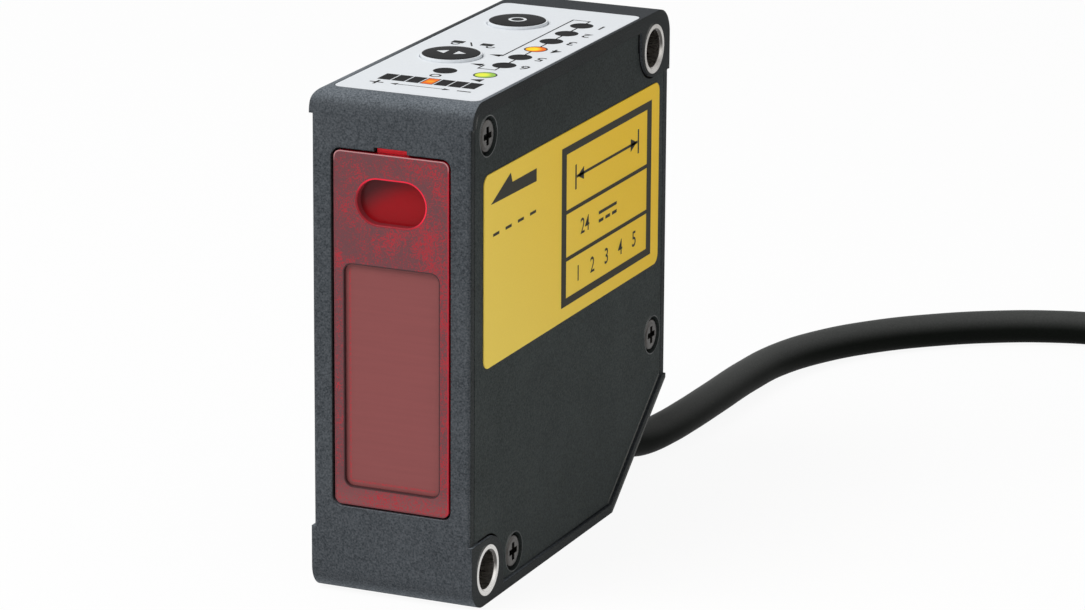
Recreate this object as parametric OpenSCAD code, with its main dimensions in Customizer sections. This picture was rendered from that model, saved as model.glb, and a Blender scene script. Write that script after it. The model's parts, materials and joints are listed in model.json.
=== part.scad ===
// Laser displacement sensor: a slim cast housing with a screwed side cover, triangulation optics behind a
// tinted front window, a key and lamp panel on top, and a short cable that ends in a round plug.
// Millimetres, +Z up. Origin at the middle of the bottom face, front (beam) toward -Y, side cover on +X.

/* [Body] */
// thickness over the mounting pads
body_w = 20.4; // [19.4:0.1:24]
// depth from front to back
body_d = 57; // [55.8:0.1:63]
// height from bottom to top
body_h = 59.8; // [58.4:0.1:66]
// wall at the bottom, the back and the slope
wall = 2.2; // [2:0.1:2.8]
// wall on the side away from the cover
side_wall = 2; // [1.8:0.1:2.4]
// wall under the panel film
top_wall = 2.8; // [2.6:0.1:3.2]
// how far the pads and lips stand proud of the side faces
pad_proud = 0.3; // [0.2:0.05:0.5]
// radius of the front top corner
front_top_r = 2.6; // [2:0.1:3]
// radius of the front bottom corner
front_low_r = 3; // [2:0.1:3.4]
// radius of the back top corner
back_top_r = 3.4; // [2.5:0.1:3.8]
// length of the sloped back corner along the bottom
slope_run = 16.3; // [15.4:0.1:18]
// height of the sloped back corner at the back
slope_rise = 12.7; // [12:0.1:14]
// rounding of the long top edge away from the cover
shoulder_r = 1.45; // [0.8:0.05:1.6]
// rounding of the upright front edges
front_edge_r = 0.45; // [0.2:0.05:0.6]

/* [Side cover] */
// thickness of the cover plate
cover_t = 1.8; // [1.6:0.1:2.2]
// thickness of the flat gasket under the cover
gasket_t = 0.4; // [0.3:0.05:0.6]
// housing lip round the cover
lip_w = 1.1; // [0.9:0.1:1.3]
// taller lip along the top
top_lip = 1.7; // [1.4:0.1:2]
// how far the proud top lip comes down the front edge
lip_end = 2.8; // [2.4:0.1:3.4]
// seam between the cover and the housing
seam = 0.15; // [0.1:0.05:0.2]
// head of the cover screws
head_d = 3.9; // [3.4:0.1:4.1]
// sunk pocket round each cover screw head
pocket_d = 4.6; // [4.4:0.1:4.8]
// length of the cover screws below the head
cover_screw_l = 7; // [5:0.5:9]
// top cover screw from the front
top_screw_in = 4.85; // [4.6:0.05:5]
// top cover screw below the top
top_screw_drop = 4.5; // [4.3:0.05:4.8]
// back cover screw from the back
back_screw_in = 3.75; // [3.6:0.05:4.1]
// back cover screw above the bottom
back_screw_up = 19.1; // [18.5:0.1:24]
// low cover screw from the front
low_screw_in = 12.3; // [11.9:0.05:12.8]
// low cover screw above the bottom
low_screw_up = 3.8; // [3.6:0.05:4.2]

/* [Mounting] */
// bore of the mounting bushes
bush_bore = 4.5; // [4.2:0.1:5]
// outside of the mounting bushes
bush_od = 6; // [5.6:0.1:6.4]
// chamfer at the bush mouths
bush_chamfer = 0.25; // [0.1:0.05:0.4]
// length of the mounting pads
pad_l = 8.7; // [8.2:0.1:9.2]
// height of the mounting pads
pad_h = 7.9; // [7.6:0.1:8.4]
// rounded inner corner of the mounting pads
pad_r = 4; // [3:0.1:4.5]
// lower hole from the front
low_hole_in = 4.4; // [4.2:0.1:4.8]
// lower hole above the bottom
low_hole_up = 4; // [3.8:0.1:4.4]
// upper hole from the back
high_hole_in = 4.75; // [4.5:0.05:5.2]
// upper hole below the top
high_hole_down = 4.5; // [4.2:0.1:4.8]

/* [Window] */
// window opening from the sides of the body
win_side = 2.7; // [2.4:0.1:3.2]
// window opening above the bottom
win_up = 10.75; // [10.4:0.05:12]
// top of the window opening below the top
win_drop = 6.45; // [6:0.05:7]
// corner radius of the window opening
win_r = 1.15; // [0.6:0.05:1.6]
// gap round the window plate
win_gap = 0.3; // [0.1:0.05:0.4]
// thickness of the window plate
win_t = 1.4; // [1.2:0.1:1.8]
// how far the window plate sits below the front face
win_sink = 0.12; // [0.05:0.01:0.3]
// thickness of the seal behind the window
seal_t = 0.3; // [0.2:0.05:0.5]
// width of the seat that carries the window
seat_w = 1.2; // [1:0.1:1.4]
// thickness of the seat that carries the window
seat_t = 0.9; // [0.8:0.1:1.2]
// locating tab at the top of the window
tab_w = 3.9; // [3:0.1:5]
// height of the locating tab above the opening
tab_h = 0.45; // [0.3:0.05:0.6]
// how far the locating tab stays behind the plate's face
tab_sink = 0.55; // [0.4:0.05:0.8]
// receiving field from the sides of the opening
field_side = 1.55; // [1.3:0.05:2.5]
// receiving field above the lower edge of the opening
field_up = 2.55; // [2:0.05:3.5]
// receiving field below the upper edge of the opening
field_drop = 13.55; // [13:0.05:15]
// depth of the receiving field in the window
field_depth = 0.4; // [0.2:0.05:0.7]
// beam axis below the top
beam_drop = 12.4; // [12:0.1:12.8]
// oval beam opening from the sides of the window opening
oval_side = 3.2; // [3:0.1:3.7]
// height of the oval beam opening
oval_h = 5.3; // [4.8:0.1:5.6]

/* [Panel] */
// thickness of the panel film
film_t = 0.2; // [0.15:0.05:0.3]
// film margin at the cover side
film_side = 0.5; // [0.3:0.05:0.8]
// film margin at the front
film_front = 2.4; // [2.2:0.1:2.8]
// film margin at the back
film_back = 7.6; // [7:0.1:8.2]
// diameter of the keys
key_d = 7.2; // [6:0.1:7.4]
// how far a key moves when it is pressed
key_travel = 0.3; // [0.2:0.05:0.35]
// how far a key stands above the film
key_rise = 0.35; // [0.3:0.05:0.5]
// gap round a key
key_gap = 0.1; // [0.06:0.01:0.15]
// keys from the left edge of the film
key_in = 6.05; // [5.8:0.05:6.4]
// select key from the front
select_in = 21.2; // [20.8:0.1:21.8]
// set key from the back
set_back = 17.1; // [16.6:0.1:17.6]
// diameter of the lamp windows
lamp_d = 2.6; // [2.2:0.1:2.8]
// lamp row from the right edge of the film
lamp_side = 4.55; // [4.4:0.05:4.7]
// rearmost lamp of the row from the back
lamp_back = 15.2; // [14.8:0.05:15.6]
// foremost lamp of the row from the front
lamp_front = 19.55; // [19.2:0.05:20]
// run and teach lamps from the front
status_in = 14.3; // [14:0.1:14.5]
// teach lamp to the left of the run lamp
status_gap = 5.05; // [4.8:0.05:5.4]
// distance bar from the front
bar_in = 8.9; // [8.85:0.05:9.2]
// distance bar from the right edge of the film
bar_side = 2.74; // [2.5:0.02:3]
// width of one bar segment
seg_w = 1.45; // [1.2:0.05:1.55]
// length of one bar segment
seg_l = 2.6; // [2.4:0.1:2.7]
// spacing of the bar segments
seg_pitch = 1.76; // [1.7:0.02:1.8]

/* [Side sticker] */
// thickness of the sticker
sticker_t = 0.12; // [0.08:0.01:0.2]
// sticker margin at the front
sticker_front = 3.5; // [3:0.1:5]
// sticker margin at the back
sticker_back = 2.6; // [2.4:0.1:5]
// sticker below the top
sticker_drop = 8.95; // [8.6:0.05:10]
// height of the sticker
sticker_h = 22.75; // [18:0.05:24]
// corner radius of the sticker
sticker_r = 1.2; // [0.6:0.1:2]

/* [Optics] */
// thickness of the bench plate
bench_t = 1.2; // [1:0.1:1.2]
// outside of the laser barrel
barrel_od = 8.6; // [8:0.1:8.8]
// length of the laser barrel
barrel_l = 17; // [16:0.5:19]
// diameter of the collimator lens
collimator_d = 6.4; // [6:0.1:6.8]
// diameter of the receiver lens
lens_d = 12; // [11:0.1:12.4]
// upward tilt of the receiver axis
lens_tilt = 10; // [6:0.5:12]
// receiver lens behind the front wall
lens_in = 10.3; // [10:0.1:11]
// image sensor behind the receiver lens
image_dist = 16.2; // [15:0.1:16.6]

/* [Cable] */
// diameter of the cable
cable_d = 4.4; // [4:0.1:4.6]
// gland from the ledge that carries the cover
gland_side = 4.2; // [4.1:0.1:4.6]
// gland along the slope, from the bottom
gland_run = 8.25; // [8:0.05:8.5]
// downward tilt of the gland
gland_tilt = 18; // [17:0.5:19]
// outside of the gland in the wall
gland_d = 6.4; // [6:0.1:6.8]

/* [Plug] */
// grip of the coupling screw
grip_d = 14.4; // [13.6:0.1:14.4]
// thread of the coupling screw
thread_d = 12; // [11.6:0.1:12.4]
// neck that the coupling screw turns on
neck_d = 9.2; // [8.8:0.1:9.4]
// running gap round the neck
neck_gap = 0.12; // [0.08:0.01:0.2]
// overmoulded body
mould_d = 12.2; // [11.6:0.1:13]
// length of the coupling screw
coupling_l = 18; // [16:0.5:20]

/* [Hidden] */
$fn = 48;
slip = 0.02;
cut = 1;
half_w = body_w / 2;
face_x = half_w - pad_proud;
front_y = -body_d / 2;
back_y = body_d / 2;
cavity_x = side_wall - face_x;
ledge_x = face_x - cover_t - gasket_t;
floor_skin = 0.6;
thread_floor = -face_x + floor_skin;
front_wall = win_sink + win_t + seal_t + seat_t;
cavity_front = front_y + front_wall;
cavity_top = body_h - top_wall;
slope_len = norm([slope_run, slope_rise]);
slope_y = back_y - slope_run;
least_r = 0.2;

// screw posts for the cover, as [y, z]
post_d = 5.2;
cover_screw_d = 2;
cover_head_h = 1.1;
head_sink = 0.1;
screw_play = 0.3;
pocket_depth = cover_head_h + head_sink;
cover_screws_at = [
    [front_y + top_screw_in, body_h - top_screw_drop],
    [back_y - back_screw_in, back_screw_up],
    [front_y + low_screw_in, low_screw_up]
];
low_hole = [front_y + low_hole_in, low_hole_up];
high_hole = [back_y - high_hole_in, body_h - high_hole_down];

// window stack from the front face inward
win_w = body_w - 2 * win_side;
win_h = body_h - win_drop - win_up;
win_top = body_h - win_drop;
win_mid = win_up + win_h / 2;
tab_gap = 0.1;
plate_y = front_y + win_sink;
seal_y = plate_y + win_t;
seat_y = seal_y + seal_t;
field_w = win_w - 2 * field_side;
field_h = win_h - field_up - field_drop;
field_mid = win_up + field_up + field_h / 2;
field_r = 1;
beam_z = body_h - beam_drop;
oval_w = win_w - 2 * oval_side;
oval_depth = 1;
flange_w = 1;
flange_t = 0.5;

// panel film and what stands in it
film_gap = 0.05;
film_shoulder = 0.35;
film_x0 = -half_w + shoulder_r + film_shoulder;
film_x1 = half_w - film_side;
film_y0 = front_y + film_front;
film_y1 = back_y - film_back;
film_z = body_h - film_t;
film_r = 1;
select_at = [film_x0 + key_in, front_y + select_in];
set_at = [film_x0 + key_in, back_y - set_back];
keys_at = [select_at, set_at];
key_flange = 0.6;
key_flange_t = 0.4;
key_stem_d = 2.8;
key_reach = 0.4;
key_room = 0.15;
key_bed = film_z - key_gap / 2 - key_flange_t - key_travel - key_room;
lamp_x = film_x1 - lamp_side;
lamp_pitch = (body_d - lamp_back - lamp_front) / 5;
lamp_row = [for (i = [0 : 5]) [lamp_x, back_y - lamp_back - i * lamp_pitch]];
lit_in_row = 3;
run_at = [lamp_x, front_y + status_in];
teach_at = run_at - [status_gap, 0];
dark_at = concat([for (i = [0 : 5]) if (i != lit_in_row) lamp_row[i]], [teach_at]);
lamps_at = concat(lamp_row, [run_at, teach_at]);
seg_count = 7;
lit_seg = 3;
bar_gap = 0.05;
bar_l = seg_count * seg_pitch;
bar_at = [film_x1 - bar_side - bar_l / 2, front_y + bar_in];
bar_foot = 0.9;

// indicator board under the panel
board_t = 1;
board_gap = 0.5;
edge_gap = 0.7;
panel_drop = 3.8;
panel_front = 7.55;
panel_board_z = cavity_top - panel_drop;
panel_board_x0 = cavity_x + edge_gap;
panel_board_x1 = ledge_x - edge_gap;
panel_board_y0 = front_y + panel_front;
panel_board_y1 = back_y - pad_l - lip_w - board_gap;
chip_h = 0.6;
chip_gap = 0.1;
chip_w = 0.8;
chip_l = 1.6;
guide_z = panel_board_z + board_t + chip_h + chip_gap;
switch_w = 4.6;
button_d = 2.2;
button_h = 0.5;
small_screw_d = 1.6;
small_head_d = 2.8;
small_head_h = 0.8;
small_play = 0.2;
boss_d = 3.8;
screw_edge = 2.2;
panel_screw_l = 2.6;
thread_room = 0.5;
panel_screws_at = [(select_at + set_at) / 2, [set_at[0], panel_board_y1 - screw_edge]];

// optical bench on the side wall
bench_x = cavity_x + bench_t;
bench_gap = 0.6;
bench_rim = 0.7;
bench_tail = 4.5;
bench_low = pad_h + lip_w + bench_gap;
bench_top = beam_z + barrel_od / 2 + bench_rim;
bench_front = cavity_front + bench_gap;
bench_back = cavity_front + lens_in + (image_dist + bench_tail) * cos(lens_tilt);
barrel_y = cavity_front + bench_gap;
barrel_free = 2.5;
barrel_tail = 2;
barrel_side = 1.3;
barrel_block = [barrel_y + barrel_free, barrel_y + barrel_l - barrel_tail];
collimator_t = 2.2;
collimator_bow = 7;
collimator_in = 4;
stop_lip = 0.7;
diode_in = 3;
diode_flange_d = 5.6;
diode_flange_t = 1.2;
diode_can_d = 3.6;
diode_can_l = 2.4;
lead_d = 0.45;
lead_ring = 1.1;
lead_l = 7;
cap_t = 1;
cap_play = 0.1;
cap_bore = 3.4;
diode_at = barrel_y + barrel_l - diode_in;
lens_at = [0, cavity_front + lens_in, field_mid];
lens_seat = 1.6;
lens_t = 3.8;
lens_bow = 12;
lens_lip = 0.8;
holder_half = 3.4;
holder_top = 1;
holder_side = 0.6;
retainer_t = 1.2;
retainer_edge = 0.1;
retainer_slant = 0.6;
sensor_high = 6.5;
sensor_low = 5;
sensor_reach = 5.5;
sensor_rib_w = 3;
sensor_rib_t = 2.4;
sensor_screw_side = 1.5;
sensor_screw_edge = 1.4;
sensor_screw_l = 1.8;
sensor_head_d = 2.4;
image_w = 3.8;
image_h = 9;
image_t = 1.2;
bench_screws_at = [
    [bench_front + screw_edge, bench_low + screw_edge],
    [bench_back - screw_edge, bench_low + screw_edge],
    [bench_back - screw_edge, bench_top - screw_edge]
];

// main board at the back
standoff = 1;
main_gap = 2.9;
main_up = 1.5;
main_x = cavity_x + standoff;
main_y1 = cover_screws_at[1][0] - post_d / 2 - board_gap;
main_y0 = bench_back + main_gap;
main_y = (main_y0 + main_y1) / 2;
main_z0 = slope_rise + main_up;
main_z1 = body_h - pad_h - lip_w - bench_gap;
main_screws_at = [
    [main_y0 + screw_edge, main_z1 - screw_edge],
    [main_y1 - screw_edge, main_z1 - screw_edge],
    [main_y, main_z0 + screw_edge]
];

// chips and round capacitors on the main board
chip_edge = 1.6;
chip_t = 1.1;
low_chip_up = 4.2;
low_chip_h = 3;
capacitor_d = 4.5;
capacitor_h = 5;
capacitor_gap = 1.5;
capacitor_drop = 7;
capacitor_pitch = capacitor_d + capacitor_gap;
low_chip_z = main_z0 + low_chip_up;
chip_z0 = low_chip_z + low_chip_h + chip_edge;
chip_z1 = main_z1 - capacitor_drop - capacitor_pitch - capacitor_d / 2 - capacitor_gap;

// cable way through the slope
gland_at = [ledge_x - gland_side, slope_y + gland_run, slope_rise * gland_run / slope_run];
cable_gap = 0.06;
gland_in = 6.4;
gland_flange_t = 1.8;
gland_flange_d = 8;
gland_hole = 9;
boot_start = 3;
boot_end = 6.2;
boot_taper = 0.9;
clamp_in = 10.1;
clamp_l = 3.4;
clamp_half = 3.4;
clamp_y = [gland_at[1] - clamp_in - clamp_l, gland_at[1] - clamp_in];
clamp_up = 7.3;
clamp_z = gland_at[2] + clamp_up;
wire_count = 5;
wire_d = 0.9;
wire_ring = 1.25;
wire_play = 0.1;
cable_start = -15.25;
wire_end = -19;
terminal_in = 16.6;
terminal_l = 4.6;
terminal_half = 3.2;
terminal_up = 1.2;
terminal_y = [gland_at[1] - terminal_in - terminal_l, gland_at[1] - terminal_in];

// supply board on the floor
supply_up = 1.2;
supply_x = 6;
supply_z = wall + supply_up;
supply_y0 = cover_screws_at[2][0] + post_d / 2 + bench_gap;
supply_y1 = clamp_y[0] - board_gap;
rest_left = -4;
rest_right = 2;
rest_back = 9;
supply_rests = [
    for (x = [rest_left, rest_right], y = [supply_y0 + screw_edge, supply_y1 - rest_back]) [x, y]
];

// cable route from inside the clamp to the plug, chosen point by point
route = [
    [3.5, 5.95, 11.12], [3.5, 12.95, 8.86], [3.5, 20.45, 6.42], [3.5, 24.95, 4.96], [3.6, 28.4, 3.86],
    [4.2, 31.9, 2.8], [4.9, 35.5, 2.3], [5.5, 40, 2.2], [5.9, 45.4, 2.2], [6.2, 54.5, 2.2], [6.5, 65.4, 2.2],
    [7.5, 73.9, 2.2], [10.4, 82, 2.2], [15.1, 89.3, 2.2], [21.4, 95.7, 2.2], [29, 101.1, 2.2],
    [35.4, 104.1, 2.2], [41.4, 105.6, 2.2], [49, 105, 2.4], [55.9, 101.8, 3.6], [60.6, 97.3, 5.5],
    [63.6, 92.3, 7], [65.32, 87.68, 7.3], [66, 85.8, 7.3], [67.37, 82.04, 7.3]
];
cable_sides = 10;

// plug frame: rear end on the floor behind the sensor, heading measured from +Y toward +X
plug_at = [66, 85.8, 7.3];
plug_heading = 160;
plug_in = 4.05;
plug_gap = 0.1;
boot_l = 13;
boot_wall = 1.3;
boot_step = 1.6;
rib_count = 4;
rib_start = 2;
rib_pitch = 2.8;
rib_l = 1.4;
rib_wall = 1.8;
rib_growth = 1.2;
mould_end = 25;
collar_y = 29;
collar_l = 1.4;
collar_rise = 1.2;
collar_play = 0.2;
collar_d = neck_d + collar_rise;
neck_end = 37;
thread_l = 8;
thread_depth = 0.2;
coupling_gap = 0.3;
coupling_y = mould_end + coupling_gap;
flute_count = 16;
flute_d = 1.4;
flute_out = 0.25;
flute_edge = 1.2;
insert_d = 7.8;
insert_l = 2.4;
pin_d = 1;
pin_l = 5.5;
pin_ring = 5.4;

// Shapes that repeat

// side-view shape (y, z) drawn out along X
module slab(x0, x1) {
    translate([x0, 0, 0])
        rotate([90, 0, 90])
            linear_extrude(x1 - x0) children();
}

// front-view shape (x, z) drawn out along Y
module panel(y0, y1) {
    translate([0, y1, 0])
        rotate([90, 0, 0])
            linear_extrude(y1 - y0) children();
}

module block(low, high) {
    translate(low) cube(high - low);
}

module rod_x(at, x0, x1, d) {
    translate([x0, at[0], at[1]]) rotate([0, 90, 0]) cylinder(d = d, h = x1 - x0);
}

module rod_y(at, y0, y1, d, d_end = undef) {
    translate([at[0], y0, at[1]])
        rotate([-90, 0, 0])
            cylinder(d1 = d, d2 = is_undef(d_end) ? d : d_end, h = y1 - y0);
}

module rod_z(at, z0, z1, d) {
    translate([at[0], at[1], z0]) cylinder(d = d, h = z1 - z0);
}

module rounded(w, h, r) {
    square([w - 2 * r, h], center = true);
    square([w, h - 2 * r], center = true);
    for (sx = [-1, 1], sy = [-1, 1])
        translate([sx * (w / 2 - r), sy * (h / 2 - r)]) circle(r);
}

module stadium(w, h) {
    square([w - h, h], center = true);
    for (s = [-1, 1])
        translate([s * (w - h) / 2, 0]) circle(d = h);
}

// pan head screw with a cross recess, head above z = 0, thread below
module pan_screw(d, head, head_h, length) {
    recess = head * 0.55;
    slot = head * 0.18;
    rim_h = head_h * 0.55;
    crown_d = head * 0.72;
    recess_floor = head_h * 0.3;
    difference() {
        union() {
            cylinder(d = head, h = rim_h);
            translate([0, 0, rim_h]) cylinder(d1 = head, d2 = crown_d, h = head_h - rim_h);
            translate([0, 0, -length]) cylinder(d = d, h = length + recess_floor);
        }
        for (a = [0, 90])
            rotate(a)
                translate([-recess / 2, -slot / 2, recess_floor]) cube([recess, slot, head_h]);
    }
}

module screw_from_right(at, x) {
    translate([x, at[0], at[1]]) rotate([0, 90, 0]) children();
}

// Side-view outline of the body and the areas cut from it

// y on the slope moved inward by d, at height z
function slope_y_at(d, z) = slope_y + (slope_run * z - d * slope_len) / slope_rise;
// z on the slope moved inward by d, at depth y
function slope_z_at(d, y) = (d * slope_len + slope_rise * (y - slope_y)) / slope_run;

module outline(d) {
    lf = max(front_low_r - d, least_r);
    tf = max(front_top_r - d, least_r);
    tb = max(back_top_r - d, least_r);
    y0 = front_y + d;
    y1 = back_y - d;
    z1 = body_h - d;
    polygon([
        [y0, d + lf], [y0 + lf, d], [slope_y_at(d, d), d], [y1, slope_z_at(d, y1)],
        [y1, z1 - tb], [y1 - tb, z1], [y0 + tf, z1], [y0, z1 - tf]
    ]);
    translate([y0 + lf, d + lf]) circle(lf);
    translate([y0 + tf, z1 - tf]) circle(tf);
    translate([y1 - tb, z1 - tb]) circle(tb);
}

module one_pad(grow) {
    l = pad_l + grow;
    h = pad_h + grow;
    r = pad_r + grow;
    polygon([[-cut, -cut], [l, -cut], [l, h - r], [l - r, h], [-cut, h]]);
    translate([l - r, h - r]) circle(r);
}

module pads(grow) {
    translate([front_y, 0]) one_pad(grow);
    translate([back_y, body_h]) rotate(180) one_pad(grow);
}

module inside_lips(inset) {
    intersection() {
        outline(lip_w + inset);
        translate([front_y, 0]) square([body_d, body_h - top_lip - inset]);
    }
}

module cover_area(inset) {
    difference() {
        inside_lips(inset);
        pads(inset);
    }
}

// lips and pads that stand proud of both side faces
module proud_area() {
    intersection() {
        difference() {
            outline(0);
            inside_lips(0);
        }
        union() {
            translate([front_y, body_h - lip_end]) square([body_d, lip_end]);
            translate([front_y + pad_l - pad_r, 0]) square([body_d, slope_rise + lip_w / 2]);
        }
    }
    intersection() {
        outline(0);
        pads(0);
    }
}

module cavity_area() {
    difference() {
        intersection() {
            outline(wall);
            translate([cavity_front, wall]) square([body_d, cavity_top - wall]);
        }
        pads(lip_w);
        for (at = cover_screws_at)
            translate(at) circle(d = post_d);
    }
}

// Frames of tilted pieces

module at_gland() {
    translate(gland_at) rotate([-gland_tilt, 0, 0]) children();
}

module at_lens() {
    translate(lens_at) rotate([-lens_tilt, 0, 0]) children();
}

module at_plug() {
    translate(plug_at) rotate([0, 0, -plug_heading]) children();
}

// Housing

module shoulder_cut() {
    x = -half_w + shoulder_r;
    z = body_h - shoulder_r;
    difference() {
        block([-half_w - cut, front_y - cut, z], [x, back_y + cut, body_h + cut]);
        rod_y([x, z], front_y - 2 * cut, back_y + 2 * cut, 2 * shoulder_r);
    }
}

module front_edge_cut(side) {
    x = face_x - front_edge_r;
    y = front_y + front_edge_r;
    mirror([side < 0 ? 1 : 0, 0, 0])
        difference() {
            block([x, front_y - cut, pad_h], [half_w + cut, y, body_h - lip_end]);
            rod_z([x, y], pad_h - cut, body_h, 2 * front_edge_r);
        }
}

module window_cuts() {
    panel(front_y - cut, seat_y)
        translate([0, win_mid]) rounded(win_w, win_h, win_r);
    panel(seat_y - cut, cavity_front + cut)
        translate([0, win_mid]) rounded(win_w - 2 * seat_w, win_h - 2 * seat_w, win_r);
    block([-tab_w / 2 - tab_gap, front_y - cut, win_top - cut],
        [tab_w / 2 + tab_gap, seat_y, win_top + tab_h]);
}

module panel_cuts() {
    translate([(film_x0 + film_x1) / 2, (film_y0 + film_y1) / 2, film_z])
        linear_extrude(cut)
            rounded(film_x1 - film_x0 + 2 * film_gap, film_y1 - film_y0 + 2 * film_gap, film_r);
    for (at = keys_at) {
        rod_z(at, key_bed, body_h + cut, key_d + 2 * key_flange + 2 * key_gap);
        rod_z(at, cavity_top - cut, body_h, key_stem_d + 4 * key_gap);
    }
    for (at = lamps_at)
        rod_z(at, cavity_top - cut, body_h + cut, lamp_d + 2 * slip);
    translate([bar_at[0], bar_at[1], cavity_top - cut])
        linear_extrude(top_wall + 2 * cut) square([bar_l + 2 * bar_gap, seg_l + 2 * bar_gap], center = true);
}

module housing() {
    color([0.27, 0.29, 0.31])
        difference() {
            union() {
                difference() {
                    union() {
                        slab(-face_x, face_x) outline(0);
                        slab(-half_w, half_w) proud_area();
                    }
                    slab(cavity_x, ledge_x + cut) cavity_area();
                    slab(ledge_x, half_w + cut) cover_area(0);
                    panel_cuts();
                }
                for (at = main_screws_at)
                    rod_x(at, cavity_x - slip, main_x, boss_d);
                for (at = supply_rests)
                    rod_z(at, wall - slip, supply_z, boss_d);
                for (at = panel_screws_at)
                    rod_z(at, panel_board_z + board_t, cavity_top + slip, boss_d);
            }
            shoulder_cut();
            for (side = [-1, 1])
                front_edge_cut(side);
            window_cuts();
            for (at = [low_hole, high_hole])
                rod_x(at, -half_w - cut, half_w + cut, bush_od + 2 * slip);
            for (at = cover_screws_at)
                rod_x(at, ledge_x - cover_screw_l - cut, ledge_x + cut, cover_screw_d + 2 * slip);
            for (at = concat(main_screws_at, bench_screws_at))
                rod_x(at, thread_floor - slip, main_x + cut, small_screw_d + 2 * slip);
            for (at = panel_screws_at)
                rod_z(at, panel_board_z, cavity_top + thread_room, small_screw_d + 2 * slip);
            at_gland() rod_y([0, 0], -gland_hole, gland_hole, gland_d + 2 * slip);
        }
}

// Side cover and its fixings

module side_cover() {
    color([0.2, 0.21, 0.21])
        difference() {
            slab(face_x - cover_t, face_x) cover_area(seam);
            for (at = cover_screws_at) {
                rod_x(at, ledge_x, half_w, cover_screw_d + screw_play);
                rod_x(at, face_x - pocket_depth, half_w, pocket_d);
            }
        }
}

module cover_gasket() {
    color([0.1, 0.1, 0.1])
        slab(ledge_x, ledge_x + gasket_t)
            difference() {
                cover_area(2 * seam);
                cavity_area();
                for (at = cover_screws_at)
                    translate(at) circle(d = cover_screw_d + screw_play);
            }
}

module cover_screws() {
    color([0.4, 0.38, 0.37])
        for (at = cover_screws_at)
            screw_from_right(at, face_x - pocket_depth)
                pan_screw(cover_screw_d, head_d, cover_head_h, cover_screw_l);
}

module bush(at) {
    color([0.83, 0.82, 0.8])
        difference() {
            rod_x(at, -half_w, half_w, bush_od);
            rod_x(at, -half_w - cut, half_w + cut, bush_bore);
            for (side = [-1, 1])
                translate([side * (half_w - bush_chamfer), at[0], at[1]])
                    rotate([0, 90 * side, 0])
                        cylinder(d1 = bush_bore, d2 = bush_bore + 4 * bush_chamfer, h = 2 * bush_chamfer);
        }
}

module upper_bush() {
    bush(high_hole);
}

module lower_bush() {
    bush(low_hole);
}

// Front window

module window_plate() {
    translate([0, win_mid]) rounded(win_w - 2 * win_gap, win_h - 2 * win_gap, win_r - win_gap);
}

module front_window() {
    color([0.5, 0.25, 0.27])
        difference() {
            union() {
                panel(plate_y, seal_y) window_plate();
                block([-tab_w / 2, plate_y + tab_sink, win_top - win_r],
                    [tab_w / 2, seal_y, win_top + tab_h - tab_gap]);
            }
            panel(front_y - cut, plate_y + field_depth)
                translate([0, field_mid]) rounded(field_w, field_h, field_r);
            panel(front_y - cut, seal_y + cut)
                translate([0, beam_z]) stadium(oval_w, oval_h);
        }
}

module window_seal() {
    color([0.08, 0.08, 0.08])
        panel(seal_y, seat_y)
            difference() {
                window_plate();
                translate([0, win_mid]) rounded(win_w - 2 * seat_w, win_h - 2 * seat_w, win_r);
            }
}

module emitter_window() {
    color([0.55, 0.1, 0.12]) {
        panel(plate_y + oval_depth, seal_y)
            translate([0, beam_z]) stadium(oval_w - 2 * slip, oval_h - 2 * slip);
        panel(seal_y, seal_y + flange_t)
            translate([0, beam_z]) stadium(oval_w + 2 * flange_w, oval_h + 2 * flange_w);
    }
}

// Panel film, keys and lamps

module panel_film() {
    color([0.9, 0.91, 0.93])
        translate([0, 0, film_z])
            linear_extrude(film_t)
                difference() {
                    translate([(film_x0 + film_x1) / 2, (film_y0 + film_y1) / 2])
                        rounded(film_x1 - film_x0, film_y1 - film_y0, film_r);
                    for (at = keys_at)
                        translate(at) circle(d = key_d + 2 * key_gap);
                    for (at = lamps_at)
                        translate(at) circle(d = lamp_d + 2 * slip);
                    for (i = [0 : seg_count - 1])
                        translate(seg_at(i))
                            square([seg_w + 2 * bar_gap, seg_l + 2 * bar_gap], center = true);
                }
}

function seg_at(i) = bar_at + [(i - (seg_count - 1) / 2) * seg_pitch, 0];

module key_cap(at) {
    flange_z = film_z - key_gap / 2 - key_flange_t;
    color([0.9, 0.91, 0.93]) {
        rod_z(at, flange_z, body_h + key_rise, key_d);
        rod_z(at, flange_z, flange_z + key_flange_t, key_d + 2 * key_flange);
        rod_z(at, cavity_top - key_reach, flange_z + key_flange_t, key_stem_d);
    }
}

module select_key() {
    key_cap(select_at);
}

module set_key() {
    key_cap(set_at);
}

module lamp_guide(at) {
    rod_z(at, guide_z, body_h, lamp_d);
}

module run_lamp() {
    color([0.6, 0.9, 0.2]) lamp_guide(run_at);
}

module output_lamp() {
    color([1, 0.65, 0.1]) lamp_guide(lamp_row[lit_in_row]);
}

module dark_lamps() {
    color([0.08, 0.08, 0.09])
        for (at = dark_at)
            lamp_guide(at);
}

module segment(i, z0) {
    translate([seg_at(i)[0], seg_at(i)[1], z0])
        linear_extrude(body_h - z0) square([seg_w, seg_l], center = true);
}

module bar_guide() {
    color([0.12, 0.12, 0.13]) {
        translate([bar_at[0], bar_at[1], guide_z])
            linear_extrude(bar_foot) square([bar_l, seg_l], center = true);
        for (i = [0 : seg_count - 1])
            if (i != lit_seg) segment(i, guide_z);
    }
}

module bar_lit_guide() {
    color([1, 0.6, 0.1]) segment(lit_seg, guide_z + bar_foot);
}

module side_sticker() {
    low = body_h - sticker_drop - sticker_h;
    color([0.85, 0.7, 0.22])
        slab(face_x, face_x + sticker_t)
            translate([(sticker_front - sticker_back) / 2, low + sticker_h / 2])
                rounded(body_d - sticker_front - sticker_back, sticker_h, sticker_r);
}

// Indicator board

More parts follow.
